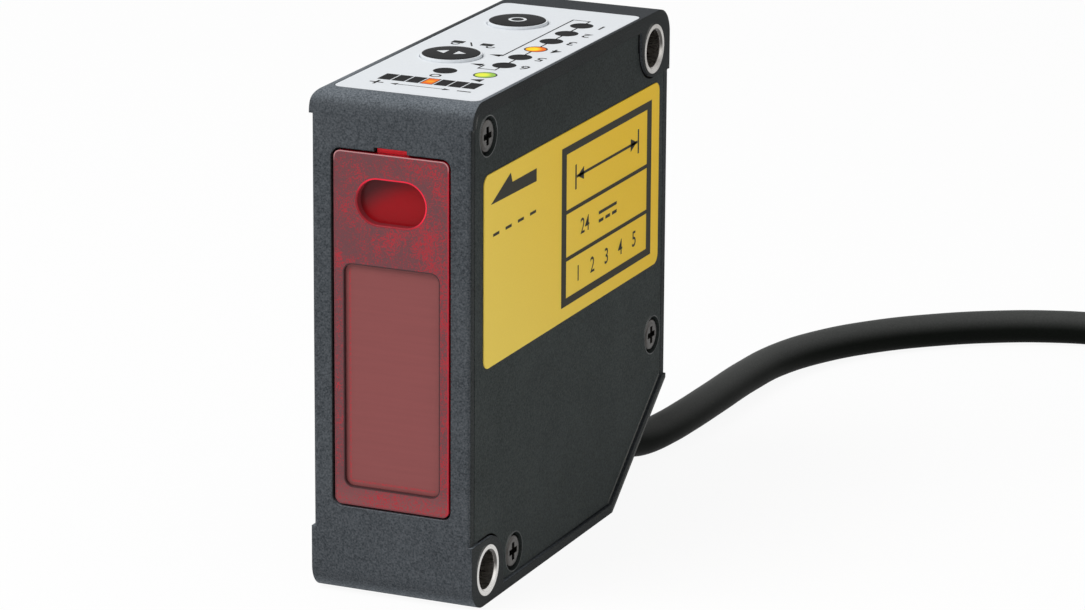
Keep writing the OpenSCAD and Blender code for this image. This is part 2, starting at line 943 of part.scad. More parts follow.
module indicator_board() {
    color([0.1, 0.35, 0.2])
        difference() {
            block([panel_board_x0, panel_board_y0, panel_board_z],
                [panel_board_x1, panel_board_y1, panel_board_z + board_t]);
            for (at = panel_screws_at)
                rod_z(at, panel_board_z - cut, panel_board_z + board_t + cut, small_screw_d + small_play);
        }
}

module key_switches() {
    z = panel_board_z + board_t;
    top = cavity_top - key_reach - key_travel - key_gap;
    color([0.2, 0.2, 0.2])
        for (at = keys_at)
            translate([at[0], at[1], z]) {
                translate([-switch_w / 2, -switch_w / 2, 0]) cube([switch_w, switch_w, top - z - button_h]);
                cylinder(d = button_d, h = top - z);
            }
}

module lamp_chips() {
    color([0.9, 0.88, 0.7])
        for (at = concat(lamps_at, [for (i = [0 : seg_count - 1]) seg_at(i)]))
            translate([at[0] - chip_w / 2, at[1] - chip_l / 2, panel_board_z + board_t])
                cube([chip_w, chip_l, chip_h]);
}

module indicator_screws() {
    color([0.6, 0.6, 0.6])
        for (at = panel_screws_at)
            translate([at[0], at[1], panel_board_z])
                rotate([180, 0, 0])
                    pan_screw(small_screw_d, small_head_d, small_head_h, board_t + panel_screw_l);
}

// Optics

module lens_holder() {
    half = lens_d / 2 + holder_top;
    at_lens() block([bench_x - slip, -holder_half, -half], [lens_d / 2 + holder_side, holder_half, half]);
}

module lens_bore() {
    at_lens() {
        rod_y([0, 0], -holder_half - cut, holder_half + cut, lens_d - 2 * lens_lip);
        rod_y([0, 0], -holder_half - cut, lens_seat, lens_d + 2 * slip);
    }
}

module sensor_rib() {
    y = image_dist + board_t;
    at_lens()
        block([bench_x - slip, y, -sensor_low], [bench_x + sensor_rib_w, y + sensor_rib_t, sensor_high]);
}

// the two screw places of the sensor board, from the receiver axis
module at_sensor_screws() {
    for (z = [sensor_screw_edge - sensor_low, sensor_high - sensor_screw_edge])
        translate([bench_x + sensor_screw_side, image_dist, z]) children();
}

module optical_bench() {
    color([0.55, 0.56, 0.57])
        difference() {
            union() {
                block([cavity_x, bench_front, bench_low], [bench_x, bench_back, bench_top]);
                difference() {
                    block([cavity_x, barrel_block[0], beam_z - barrel_od / 2 - bench_rim],
                        [barrel_od / 2 + barrel_side, barrel_block[1], bench_top]);
                    rod_y([0, beam_z], barrel_block[0] - cut, barrel_block[1] + cut, barrel_od + 2 * slip);
                }
                lens_holder();
                sensor_rib();
            }
            lens_bore();
            for (at = bench_screws_at)
                rod_x(at, cavity_x - cut, bench_x + cut, small_screw_d + small_play);
            at_lens() at_sensor_screws() rod_y([0, 0], 0, board_t + sensor_screw_l, small_screw_d + 2 * slip);
        }
}

module laser_barrel() {
    back = barrel_y + barrel_l;
    color([0.7, 0.62, 0.35])
        difference() {
            rod_y([0, beam_z], barrel_y, back, barrel_od);
            rod_y([0, beam_z], barrel_y - cut, back + cut, collimator_d - 2 * stop_lip);
            rod_y([0, beam_z], barrel_y - cut, barrel_y + collimator_in, collimator_d + 2 * slip);
            rod_y([0, beam_z], diode_at, back + cut, diode_flange_d + 2 * slip);
        }
}

// flat on the +Y side, domed toward -Y
module plano_convex(d, thick, bow) {
    intersection() {
        rod_y([0, 0], -thick, 0, d);
        translate([0, bow - thick, 0]) sphere(bow, $fn = 96);
    }
}

module collimator_lens() {
    color([0.8, 0.85, 0.9])
        translate([0, barrel_y + collimator_in, beam_z])
            plano_convex(collimator_d, collimator_t, collimator_bow);
}

module laser_diode() {
    color([0.75, 0.68, 0.45]) {
        rod_y([0, beam_z], diode_at, diode_at + diode_flange_t, diode_flange_d);
        rod_y([0, beam_z], diode_at - diode_can_l, diode_at + slip, diode_can_d);
        for (a = [90, 210, 330])
            rod_y([0, beam_z] + lead_ring * [cos(a), sin(a)], diode_at + diode_flange_t - slip,
                diode_at + lead_l, lead_d);
    }
}

module barrel_cap() {
    back = barrel_y + barrel_l;
    color([0.15, 0.15, 0.16])
        difference() {
            union() {
                rod_y([0, beam_z], back, back + cap_t, barrel_od);
                rod_y([0, beam_z], diode_at + diode_flange_t, back + slip, diode_flange_d - cap_play);
            }
            rod_y([0, beam_z], diode_at, back + cap_t + cut, cap_bore);
        }
}

module receiver_lens() {
    color([0.75, 0.82, 0.9])
        at_lens() translate([0, lens_seat, 0]) plano_convex(lens_d, lens_t, lens_bow);
}

module lens_retainer() {
    lip_r = lens_d / 2 - retainer_edge;
    mouth_d = 2 * (lip_r - retainer_slant);
    sag = lens_bow - sqrt(lens_bow * lens_bow - lip_r * lip_r);
    rest = lens_seat - lens_t + sag - slip;
    color([0.12, 0.12, 0.13])
        at_lens()
            difference() {
                rod_y([0, 0], rest - retainer_t, rest, lens_d);
                rod_y([0, 0], rest - retainer_t, rest, mouth_d, 2 * lip_r);
                rod_y([0, 0], rest - retainer_t - cut, rest, mouth_d);
            }
}

module sensor_board() {
    color([0.1, 0.35, 0.2])
        at_lens()
            difference() {
                block([bench_x + chip_gap, image_dist, -sensor_low],
                    [sensor_reach, image_dist + board_t, sensor_high]);
                at_sensor_screws() rod_y([0, 0], -cut, board_t + cut, small_screw_d + small_play);
            }
}

module image_sensor() {
    color([0.15, 0.15, 0.2])
        at_lens()
            block([-image_w / 2, image_dist - image_t, -image_h / 2], [image_w / 2, image_dist, image_h / 2]);
}

module sensor_screws() {
    color([0.6, 0.6, 0.6])
        at_lens()
            at_sensor_screws()
                rotate([90, 0, 0])
                    pan_screw(small_screw_d, sensor_head_d, small_head_h, board_t + sensor_screw_l);
}

module bench_screws() {
    color([0.6, 0.6, 0.6])
        for (at = bench_screws_at)
            screw_from_right(at, bench_x)
                pan_screw(small_screw_d, small_head_d, small_head_h, bench_x - thread_floor);
}

// Boards at the back and on the floor

module main_board() {
    color([0.1, 0.35, 0.2])
        difference() {
            block([main_x, main_y0, main_z0], [main_x + board_t, main_y1, main_z1]);
            for (at = main_screws_at)
                rod_x(at, main_x - cut, main_x + board_t + cut, small_screw_d + small_play);
        }
}

module main_chips() {
    x = main_x + board_t;
    color([0.13, 0.13, 0.14]) {
        block([x, main_y0 + chip_edge, chip_z0], [x + chip_t, main_y1 - chip_edge, chip_z1]);
        block([x, main_y0 + chip_edge, low_chip_z],
            [x + chip_t, main_y1 - chip_edge, low_chip_z + low_chip_h]);
        for (i = [0, 1])
            rod_x([main_y, main_z1 - capacitor_drop - i * capacitor_pitch], x, x + capacitor_h, capacitor_d);
    }
}

module main_screws() {
    color([0.6, 0.6, 0.6])
        for (at = main_screws_at)
            screw_from_right(at, main_x + board_t)
                pan_screw(small_screw_d, small_head_d, small_head_h, main_x + board_t - thread_floor);
}

module supply_board() {
    color([0.1, 0.35, 0.2])
        block([-supply_x, supply_y0, supply_z], [supply_x, supply_y1, supply_z + board_t]);
}

module wires(grow) {
    at_gland()
        for (i = [0 : wire_count - 1])
            rod_y(wire_ring * [cos(360 * i / wire_count), sin(360 * i / wire_count)], wire_end - grow,
                cable_start, wire_d + 2 * grow);
}

module wire_terminal() {
    x = gland_at[0];
    color([0.2, 0.45, 0.25])
        difference() {
            block([x - terminal_half, terminal_y[0], supply_z + board_t],
                [x + terminal_half, terminal_y[1], clamp_z + terminal_up]);
            wires(wire_play);
        }
}

// Cable way

module cable_gland() {
    color([0.08, 0.08, 0.08])
        at_gland()
            difference() {
                union() {
                    rod_y([0, 0], -gland_in - gland_flange_t, -gland_in, gland_flange_d);
                    rod_y([0, 0], -gland_in - slip, boot_start, gland_d);
                    rod_y([0, 0], boot_start - slip, boot_end, gland_d, gland_d - boot_taper);
                }
                rod_y([0, 0], -gland_in - gland_flange_t - cut, boot_end + cut, cable_d + 2 * cable_gap);
            }
}

module cable_clamp() {
    x = gland_at[0];
    color([0.3, 0.3, 0.3])
        difference() {
            block([x - clamp_half, clamp_y[0], wall], [x + clamp_half, clamp_y[1], clamp_z]);
            at_gland() rod_y([0, 0], -2 * clamp_in, 0, cable_d + 2 * cable_gap);
        }
}

module lead_wires() {
    color([0.7, 0.5, 0.2]) wires(0);
}

function unit(v) = v / norm(v);
function along(i) = unit(route[min(i + 1, len(route) - 1)] - route[max(i - 1, 0)]);
function ring(i) =
    let (t = along(i), s = unit(cross(t, [0, 0, 1])), u = cross(s, t))
    [for (k = [0 : cable_sides - 1])
        route[i] + cable_d / 2 * (s * cos(360 * k / cable_sides) + u * sin(360 * k / cable_sides))];

module cable() {
    n = cable_sides;
    last = len(route) - 1;
    points = [for (i = [0 : last]) each ring(i)];
    sides = [for (i = [0 : last - 1], k = [0 : n - 1])
        let (a = i * n + k, b = i * n + (k + 1) % n)
        each [[a, b, b + n], [a, b + n, a + n]]];
    front_end = [[for (k = [n - 1 : -1 : 0]) k]];
    back_end = [[for (k = [0 : n - 1]) last * n + k]];
    color([0.06, 0.06, 0.07]) polyhedron(points, concat(sides, front_end, back_end));
}

// Plug on the cable

module plug_body() {
    color([0.09, 0.09, 0.1])
        at_plug()
            difference() {
                union() {
                    rod_y([0, 0], 0, boot_l, cable_d + 2 * boot_wall, mould_d - boot_step);
                    for (i = [0 : rib_count - 1])
                        translate([0, rib_start + i * rib_pitch, 0])
                            rod_y([0, 0], 0, rib_l, cable_d + 2 * rib_wall + i * rib_growth);
                    rod_y([0, 0], boot_l - slip, mould_end, mould_d);
                    rod_y([0, 0], mould_end - slip, neck_end, neck_d);
                    rod_y([0, 0], collar_y, collar_y + collar_l, collar_d);
                }
                rod_y([0, 0], -cut, plug_in, cable_d + 2 * plug_gap);
                rod_y([0, 0], neck_end - insert_l, neck_end + cut, insert_d + 2 * slip);
            }
}

module coupling_screw() {
    end = coupling_y + coupling_l;
    color([0.75, 0.76, 0.77])
        at_plug()
            difference() {
                union() {
                    rod_y([0, 0], coupling_y, end - thread_l, grip_d);
                    rod_y([0, 0], end - thread_l - slip, end, thread_d - 2 * thread_depth);
                }
                rod_y([0, 0], coupling_y - cut, end + cut, neck_d + 2 * neck_gap);
                rod_y([0, 0], collar_y - collar_play, collar_y + collar_l + collar_play,
                    collar_d + 2 * neck_gap);
                for (i = [0 : flute_count - 1])
                    rotate([0, 360 * i / flute_count, 0])
                        rod_y([grip_d / 2 + flute_out, 0], coupling_y + flute_edge,
                            end - thread_l - flute_edge, flute_d);
            }
}

module plug_insert() {
    color([0.2, 0.2, 0.2])
        at_plug()
            rod_y([0, 0], neck_end - insert_l, neck_end, insert_d);
}

module contact_pins() {
    color([0.85, 0.7, 0.3])
        at_plug()
            for (i = [0 : 4])
                rod_y(i == 4 ? [0, 0] : pin_ring / 2 * [cos(90 * i + 45), sin(90 * i + 45)],
                    neck_end, neck_end + pin_l, pin_d);
}

housing();
side_cover();
cover_gasket();
cover_screws();
upper_bush();
lower_bush();
front_window();
window_seal();
emitter_window();
panel_film();
select_key();
set_key();
run_lamp();
output_lamp();
dark_lamps();
bar_guide();
bar_lit_guide();
side_sticker();
indicator_board();
key_switches();
lamp_chips();
indicator_screws();
optical_bench();
laser_barrel();
collimator_lens();
laser_diode();
barrel_cap();
receiver_lens();
lens_retainer();
sensor_board();
image_sensor();
sensor_screws();
bench_screws();
main_board();
main_chips();
main_screws();
supply_board();
wire_terminal();
cable_gland();
cable_clamp();
lead_wires();
cable();
plug_body();
coupling_screw();
plug_insert();
contact_pins();
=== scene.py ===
"""Looks of the laser displacement sensor: camera, light, cable, prints and finishes over the solids."""

import json
import math

import bmesh
import bpy
from mathutils import Matrix, Vector


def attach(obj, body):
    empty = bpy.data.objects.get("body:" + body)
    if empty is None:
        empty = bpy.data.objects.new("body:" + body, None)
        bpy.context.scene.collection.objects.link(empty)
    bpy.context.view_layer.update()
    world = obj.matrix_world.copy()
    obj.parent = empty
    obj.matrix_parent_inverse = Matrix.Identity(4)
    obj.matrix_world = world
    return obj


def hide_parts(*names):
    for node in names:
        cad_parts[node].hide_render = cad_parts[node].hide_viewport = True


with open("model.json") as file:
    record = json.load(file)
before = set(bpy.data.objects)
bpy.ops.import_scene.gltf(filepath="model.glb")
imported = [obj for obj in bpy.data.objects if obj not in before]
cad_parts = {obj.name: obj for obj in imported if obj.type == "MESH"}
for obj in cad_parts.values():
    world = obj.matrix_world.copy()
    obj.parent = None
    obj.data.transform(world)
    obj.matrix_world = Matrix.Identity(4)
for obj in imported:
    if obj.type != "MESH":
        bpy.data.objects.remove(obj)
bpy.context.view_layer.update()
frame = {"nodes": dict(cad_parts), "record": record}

MM = 0.001


def mm(*values):
    """A point given in millimetres, in metres."""
    return Vector(values) * MM


# Sizes of the object that the prints and dressings sit on, in millimetres

FRONT_Y = -28.5
BACK_Y = 28.5
TOP_Z = 59.8
SIDE_X = 9.9
STICKER_X = SIDE_X + 0.12
PLATE_Y = FRONT_Y + 0.12
PRINT_LIFT = 0.012

KEY_TOP_Z = TOP_Z + 0.35
KEY_R = 3.6
SELECT_KEY = (-2.35, -7.3)
SET_KEY = (-2.35, 11.4)

LAMP_R = 1.3
LAMP_X = 5.15
LAMP_ROW_Y = [13.3 - 4.45 * i for i in range(6)]
LIT_LAMP = (LAMP_X, LAMP_ROW_Y[3])
RUN_LAMP = (LAMP_X, -14.2)
TEACH_LAMP = (0.1, -14.2)

BAR_CENTRE = (0.8, -19.6)
SEGMENTS = 7
SEGMENT_PITCH = 1.76
SEGMENT_W = 1.45
BAR_W = SEGMENTS * SEGMENT_PITCH
BAR_L = 2.6

CORE_SHIFT = 0.35
BAR_CORE_UP = 0.7 * LAMP_R
ORANGE_CORES = [(LIT_LAMP[0] - CORE_SHIFT, LIT_LAMP[1], 0), (*BAR_CENTRE, BAR_CORE_UP)]
GREEN_CORES = [(RUN_LAMP[0] - CORE_SHIFT, RUN_LAMP[1], 0)]

PLATE_HALF_W = 7.2
PLATE_Z = (11.05, 53.05)
PLATE_R = 0.85
FIELD_HALF_W = 5.95
FIELD_Z = (13.3, 39.8)
FIELD_R = 1
RED_LINE_IN = 0.6
OVAL_CENTRE = (0, 47.4)
OVAL_W = 8.6
OVAL_H = 5.3
OVAL_DEPTH = 1.0


# Camera, fitted to the photograph's perspective

AZIMUTH = math.radians(23.909)
ELEVATION = math.radians(16.134)
ROLL = math.radians(0.342)
TARGET = mm(0, 0.5, 30)
TARGET_RIGHT = -5.424 * MM
TARGET_UP = 1.894 * MM
DISTANCE = 605.19 * MM
SENSOR_MM = 36
FOCAL_PX = 5104.2
FRAME_PX = 1085


def add_camera():
    back = Vector((
        math.sin(AZIMUTH) * math.cos(ELEVATION),
        -math.cos(AZIMUTH) * math.cos(ELEVATION),
        math.sin(ELEVATION),
    ))
    level = Vector((0, 0, 1)).cross(back).normalized()
    upright = back.cross(level)
    right = math.cos(ROLL) * level + math.sin(ROLL) * upright
    up = math.cos(ROLL) * upright - math.sin(ROLL) * level
    data = bpy.data.cameras.new("camera")
    data.sensor_width = SENSOR_MM
    data.lens = SENSOR_MM * FOCAL_PX / FRAME_PX
    data.clip_start = 0.01
    data.clip_end = 20
    camera = bpy.data.objects.new("camera", data)
    place = TARGET - TARGET_RIGHT * right - TARGET_UP * up + DISTANCE * back
    camera.matrix_world = Matrix.Translation(place) @ Matrix((right, up, back)).transposed().to_4x4()
    bpy.context.scene.collection.objects.link(camera)
    bpy.context.scene.camera = camera


# Building blocks for node materials


def add_node(tree, kind, inputs=None, **settings):
    """A new node; an input is a number, a colour or another node's output."""
    made = tree.nodes.new(kind)
    for key, value in settings.items():
        setattr(made, key, value)
    for key, value in (inputs or {}).items():
        socket = made.inputs[key]
        if isinstance(value, bpy.types.NodeSocket):
            tree.links.new(value, socket)
        else:
            socket.default_value = value
    return made


def new_material(name, **sockets):
    """A material with its shader's constant sockets set; words in socket names are joined by _."""
    material = bpy.data.materials.new(name)
    material.use_nodes = True
    tree = material.node_tree
    shader = tree.nodes["Principled BSDF"]
    for key, value in sockets.items():
        shader.inputs[key.replace("_", " ").title().replace("Ior", "IOR")].default_value = value
    return material, tree, shader


def plug_in(tree, shader, **outputs):
    for key, value in outputs.items():
        tree.links.new(value, shader.inputs[key.replace("_", " ").title()])


def place_of(tree):
    """Coordinates in the object's own frame, in metres."""
    return add_node(tree, "ShaderNodeTexCoord").outputs["Object"]


def axes_of(tree):
    return add_node(tree, "ShaderNodeSeparateXYZ", {"Vector": place_of(tree)}).outputs


def noise(tree, grain_mm, detail=2.0, stretch=(1, 1, 1)):
    """Noise whose grains are about grain_mm across."""
    spread = add_node(tree, "ShaderNodeMapping", {"Vector": place_of(tree), "Scale": stretch})
    sockets = {"Vector": spread.outputs[0], "Scale": 1 / (grain_mm * MM), "Detail": detail}
    return add_node(tree, "ShaderNodeTexNoise", sockets).outputs["Fac"]


def math_node(tree, operation, a, b=0.0, clamp=False):
    return add_node(tree, "ShaderNodeMath", {0: a, 1: b}, operation=operation, use_clamp=clamp).outputs[0]


def product(tree, a, b):
    return math_node(tree, "MULTIPLY", a, b)


def step(tree, value, low, high):
    """0 below low and 1 above high, with a smooth change between; low may be the larger."""
    sockets = {"Value": value, "From Min": low, "From Max": high}
    return add_node(tree, "ShaderNodeMapRange", sockets, interpolation_type="SMOOTHSTEP").outputs[0]


def spread_to(tree, value, low, high):
    """A value of 0 to 1 spread over low to high."""
    return add_node(tree, "ShaderNodeMapRange", {"Value": value, "To Min": low, "To Max": high}).outputs[0]


def with_alpha(colour):
    """A written colour as a socket takes it; another node's output stays as it is."""
    return colour if isinstance(colour, bpy.types.NodeSocket) else (*colour, 1)


def blend(tree, factor, first, second):
    """Two colours mixed by a factor from 0 to 1."""
    sockets = {0: factor, 6: with_alpha(first), 7: with_alpha(second)}
    return add_node(tree, "ShaderNodeMix", sockets, data_type="RGBA").outputs[2]


def direction_of(tree):
    """The way a face looks, along the object's own axes."""
    normal = add_node(tree, "ShaderNodeTexCoord").outputs["Normal"]
    return add_node(tree, "ShaderNodeSeparateXYZ", {0: normal}).outputs


def facing(tree, axis):
    """How squarely a face looks along one of the object's own axes, from 0 to 1."""
    return math_node(tree, "ABSOLUTE", direction_of(tree)[axis])


def upward(tree):
    """How far a face looks up, from -1 to 1."""
    return direction_of(tree)["Z"]


def side_facing(tree):
    return step(tree, facing(tree, "X"), 0.8, 0.97)


def rounded_normal(tree, radius_mm):
    """Normals as if the edges were rounded by that radius."""
    return add_node(tree, "ShaderNodeBevel", {"Radius": radius_mm * MM}, samples=4).outputs[0]


def bump(tree, height, depth_mm, normal=None):
    sockets = {"Height": height, "Distance": depth_mm * MM, "Strength": 1.0}
    if normal is not None:
        sockets["Normal"] = normal
    return add_node(tree, "ShaderNodeBump", sockets).outputs[0]


# Finishes, one function for each kind of surface


def slope_edge_highlight(tree):
    """1 on the edge where the broad side meets the slope at the cable, where a pale highlight is painted."""
    turned_to = add_node(tree, "ShaderNodeSeparateXYZ", {0: rounded_normal(tree, 0.9)}).outputs
    rear = step(tree, turned_to["Y"], 0.08, 0.25)
    low = step(tree, turned_to["Z"], -0.08, -0.25)
    return product(tree, step(tree, turned_to["X"], 0.3, 0.6), product(tree, rear, low))


def sandy_paint(name, dark, light, side_shade_tint, top_shade_and_sheen, edge_mm):
    """Matte sandy paint; the side tint is painted shade on the broad sides, deepened along their top band,
    the top tones are painted shade for the top's rear and a painted sheen for its front, and the slope edge
    has a pale painted highlight.
    """
    material, tree, shader = new_material(name, specular_ior_level=0.03)
    sand = noise(tree, 0.2, detail=2)
    cloud = noise(tree, 6, detail=2)
    grain = spread_to(tree, sand, -0.6, 1.4)
    tone = math_node(tree, "ADD", grain, spread_to(tree, cloud, -0.1, 0.3), clamp=True)
    axes = axes_of(tree)
    side = side_facing(tree)
    # painted shade: the broad sides get darker toward their top band
    upper_side_shade = product(tree, side, step(tree, axes["Z"], 44 * MM, 56 * MM))
    # the top tones paint shade on the top's rear and a sheen on its front
    top_shade_sheen_tone = spread_to(tree, step(tree, axes["Y"], 5 * MM, -22 * MM), *top_shade_and_sheen)
    top = spread_to(tree, step(tree, facing(tree, "Z"), 0.3, 0.95), 1.0, top_shade_sheen_tone)
    shade = product(tree, top, spread_to(tree, upper_side_shade, 1.0, 0.72))
    # the side tint paints shade on the broad sides, darker and less blue
    sockets = {0: blend(tree, tone, dark, light), 1: blend(tree, side, (1, 1, 1), side_shade_tint)}
    tinted = add_node(tree, "ShaderNodeVectorMath", sockets, operation="MULTIPLY").outputs[0]
    shading = {0: tinted, "Scale": shade}
    paint = add_node(tree, "ShaderNodeVectorMath", shading, operation="SCALE").outputs[0]
    # a pale painted highlight along the slope edge
    plug_in(
        tree, shader,
        base_color=blend(tree, slope_edge_highlight(tree), paint, (0.24, 0.24, 0.23)),
        roughness=spread_to(tree, sand, 0.48, 0.68),
        normal=bump(tree, sand, 0.012, rounded_normal(tree, edge_mm)),
    )
    return material


def soft_rubber(name, dark, light):
    """Dull rubber with a fine grain."""
    material, tree, shader = new_material(name, specular_ior_level=0.35)
    grain = noise(tree, 0.25, detail=4)
    plug_in(
        tree, shader,
        base_color=blend(tree, grain, dark, light),
        roughness=spread_to(tree, grain, 0.55, 0.75),
        normal=bump(tree, grain, 0.01, rounded_normal(tree, 0.2)),
    )
    return material


def cable_jacket():
    """Black jacket with painted light: a painted highlight along its top and painted shade underneath."""
    material, tree, shader = new_material("cable_black", specular_ior_level=0.02)
    grain = noise(tree, 0.25, detail=4)
    # painted shade underneath and a painted highlight along the top, chosen by which way the surface faces
    shaded_underside = blend(tree, grain, (0.003, 0.004, 0.003), (0.007, 0.008, 0.007))
    lit_topside = blend(tree, grain, (0.045, 0.047, 0.045), (0.080, 0.082, 0.080))
    plug_in(
        tree, shader,
        base_color=blend(tree, step(tree, upward(tree), 0.0, 0.95), shaded_underside, lit_topside),
        roughness=spread_to(tree, grain, 0.4, 0.6),
        normal=bump(tree, grain, 0.01),
    )
    return material


def turned_metal(name, dark, light, rough, streaks=(1, 1, 1)):
    """Bare metal with fine tool marks, stretched along one axis."""
    material, tree, shader = new_material(name, metallic=1.0)
    marks = noise(tree, 0.3, detail=3, stretch=streaks)
    stain = noise(tree, 2.5, detail=2)
    tone = math_node(tree, "MULTIPLY", marks, spread_to(tree, stain, 0.7, 1.3), clamp=True)
    plug_in(
        tree, shader,
        base_color=blend(tree, tone, dark, light),
        roughness=spread_to(tree, marks, rough - 0.07, rough + 0.1),
        normal=bump(tree, marks, 0.004, rounded_normal(tree, 0.12)),
    )
    return material


def bush_metal():
    """Bright end faces, a chamfer with a painted highlight low down and painted shade high up, a dull bore
    with fine tool marks, and painted shade that makes the upper bush's face darker and blotchy.
    """
    material, tree, shader = new_material("bush_nickel", metallic=1.0)
    marks = noise(tree, 0.3, detail=3, stretch=(0.3, 3, 3))
    outward = facing(tree, "X")
    end_face = step(tree, outward, 0.85, 0.97)
    chamfer = step(tree, outward, 0.3, 0.6)
    # painted highlight on the low part of the chamfer, painted shade on its high part
    lit_low_chamfer = product(tree, chamfer, step(tree, upward(tree), 0.0, 0.5))
    shaded_high_chamfer = product(tree, chamfer, step(tree, upward(tree), 0.3, -0.1))
    bore = blend(tree, marks, (0.42, 0.40, 0.37), (0.62, 0.60, 0.57))
    # painted shade: the upper bush's face is darker, in broad blotches
    upper_bush = step(tree, axes_of(tree)["Z"], 20 * MM, 40 * MM)
    lower_face = blend(tree, marks, (0.52, 0.51, 0.49), (0.74, 0.73, 0.71))
    shaded_upper_face = blend(tree, noise(tree, 2.5), (0.16, 0.15, 0.14), (0.66, 0.64, 0.61))
    face = blend(tree, upper_bush, lower_face, shaded_upper_face)
    lit_bore = blend(tree, lit_low_chamfer, bore, face)
    inside = blend(tree, shaded_high_chamfer, lit_bore, (0.10, 0.095, 0.09))
    plug_in(
        tree, shader,
        base_color=blend(tree, end_face, inside, face),
        roughness=spread_to(tree, marks, 0.2, 0.36),
        normal=bump(tree, marks, 0.004, rounded_normal(tree, 0.1)),
    )
    return material


def smooth_plastic(name, dark, light, rough, grain_mm=0.4, **sockets):
    """Moulded plastic with a faint grain."""
    material, tree, shader = new_material(name, **sockets)
    grain = noise(tree, grain_mm, detail=3)
    plug_in(
        tree, shader,
        base_color=blend(tree, grain, dark, light),
        roughness=spread_to(tree, grain, rough - 0.05, rough + 0.08),
        normal=bump(tree, grain, 0.003, rounded_normal(tree, 0.1)),
    )
    return material


def field_distance(tree, axes):
    """How far a spot lies outside the rounded edge of the receiving field; below 0 inside it."""
    low, high = FIELD_Z
    across = math_node(tree, "ABSOLUTE", axes["X"])
    along = math_node(tree, "ABSOLUTE", math_node(tree, "SUBTRACT", axes["Z"], (low + high) / 2 * MM))
    past_x = math_node(tree, "SUBTRACT", across, (FIELD_HALF_W - FIELD_R) * MM)
    past_z = math_node(tree, "SUBTRACT", along, ((high - low) / 2 - FIELD_R) * MM)
    corner = add_node(tree, "ShaderNodeCombineXYZ", {
        "X": math_node(tree, "MAXIMUM", past_x, 0.0), "Y": math_node(tree, "MAXIMUM", past_z, 0.0),
    }).outputs[0]
    outside = add_node(tree, "ShaderNodeVectorMath", {0: corner}, operation="LENGTH").outputs["Value"]
    inside = math_node(tree, "MINIMUM", math_node(tree, "MAXIMUM", past_x, past_z), 0.0)
    return math_node(tree, "SUBTRACT", math_node(tree, "ADD", outside, inside), FIELD_R * MM)


def near_line(tree, distance, at_mm, soft_mm, sharp_mm):
    """1 within sharp_mm of the line at that distance, fading to 0 at soft_mm from it."""
    off = math_node(tree, "ABSOLUTE", math_node(tree, "SUBTRACT", distance, at_mm * MM))
    return step(tree, off, soft_mm * MM, sharp_mm * MM)


def rear_edge_reflection(tree, axes, distance, speck):
    """A painted reflection of the plate's rear edge: a broken red line a little inside the left and lower
    edges of the receiving field.
    """
    left = step(tree, axes["X"], (0.8 - FIELD_HALF_W) * MM, (0.6 - FIELD_HALF_W) * MM)
    low = step(tree, axes["Z"], (FIELD_Z[0] + 0.8) * MM, (FIELD_Z[0] + 0.6) * MM)
    line = near_line(tree, distance, -RED_LINE_IN, 0.2, 0.08)
    broken = product(tree, line, step(tree, speck, 0.42, 0.58))
    return product(tree, broken, math_node(tree, "MAXIMUM", left, low))


def mottled_border(tree, axes, speck):
    """Red mottling over a haze that is palest at the low end of the plate."""
    blot = noise(tree, 3.2, detail=3)
    lean = spread_to(tree, step(tree, axes["X"], -7 * MM, 7 * MM), -0.06, 0.05)
    fleck = spread_to(tree, speck, -0.4, 1.4)
    mottle = step(tree, math_node(tree, "ADD", math_node(tree, "ADD", blot, fleck), lean), 0.86, 1.46)
    low_end = step(tree, axes["Z"], 15 * MM, 11.5 * MM)
    haze = blend(tree, low_end, (0.135, 0.043, 0.050), (0.205, 0.063, 0.066))
    return blend(tree, mottle, haze, (0.40, 0.016, 0.028))


def lined_field(tree, axes, distance, speck):
    """The smoother receiving field with faint level lines and a broken red line painted as a reflection of
    the rear edge.
    """
    lines = noise(tree, 0.5, detail=3, stretch=(0.04, 1, 1))
    bare = blend(tree, lines, (0.218, 0.056, 0.056), (0.252, 0.066, 0.065))
    return blend(tree, rear_edge_reflection(tree, axes, distance, speck), bare, (0.42, 0.03, 0.04))


def tinted_window():
    """Frosted red-grey plate with a mottled border and a smoother field, with painted light: a painted shade
    line round the field's recess, and a painted glow on the outer edges and the tab.
    """
    material, tree, shader = new_material("window_red", specular_ior_level=0.3)
    axes = axes_of(tree)
    distance = field_distance(tree, axes)
    speck = noise(tree, 0.16, detail=2)
    border = mottled_border(tree, axes, speck)
    field = lined_field(tree, axes, distance, speck)
    plate = blend(tree, step(tree, distance, 0.02 * MM, -0.02 * MM), border, field)
    # painted shade: a fine dark line round the field's recess
    recess_shaded = blend(tree, near_line(tree, distance, 0.05, 0.12, 0.05), plate, (0.050, 0.016, 0.018))
    # painted glow: the outer edges and the tab are bright red
    turned_away = step(tree, facing(tree, "Y"), 0.95, 0.6)
    lit_outer_edge = product(tree, turned_away, step(tree, distance, 0.2 * MM, 0.4 * MM))
    lit_tab = step(tree, axes["Z"], PLATE_Z[1] * MM, (PLATE_Z[1] + 0.08) * MM)
    lit_edge = blend(tree, lit_outer_edge, recess_shaded, (0.55, 0.010, 0.022))
    frosting = spread_to(tree, speck, 0.38, 0.52)
    plug_in(
        tree, shader,
        base_color=blend(tree, lit_tab, lit_edge, (0.95, 0.012, 0.030)),
        roughness=product(tree, frosting, spread_to(tree, lit_outer_edge, 1.0, 0.4)),
        normal=bump(tree, speck, 0.003),
    )
    return material


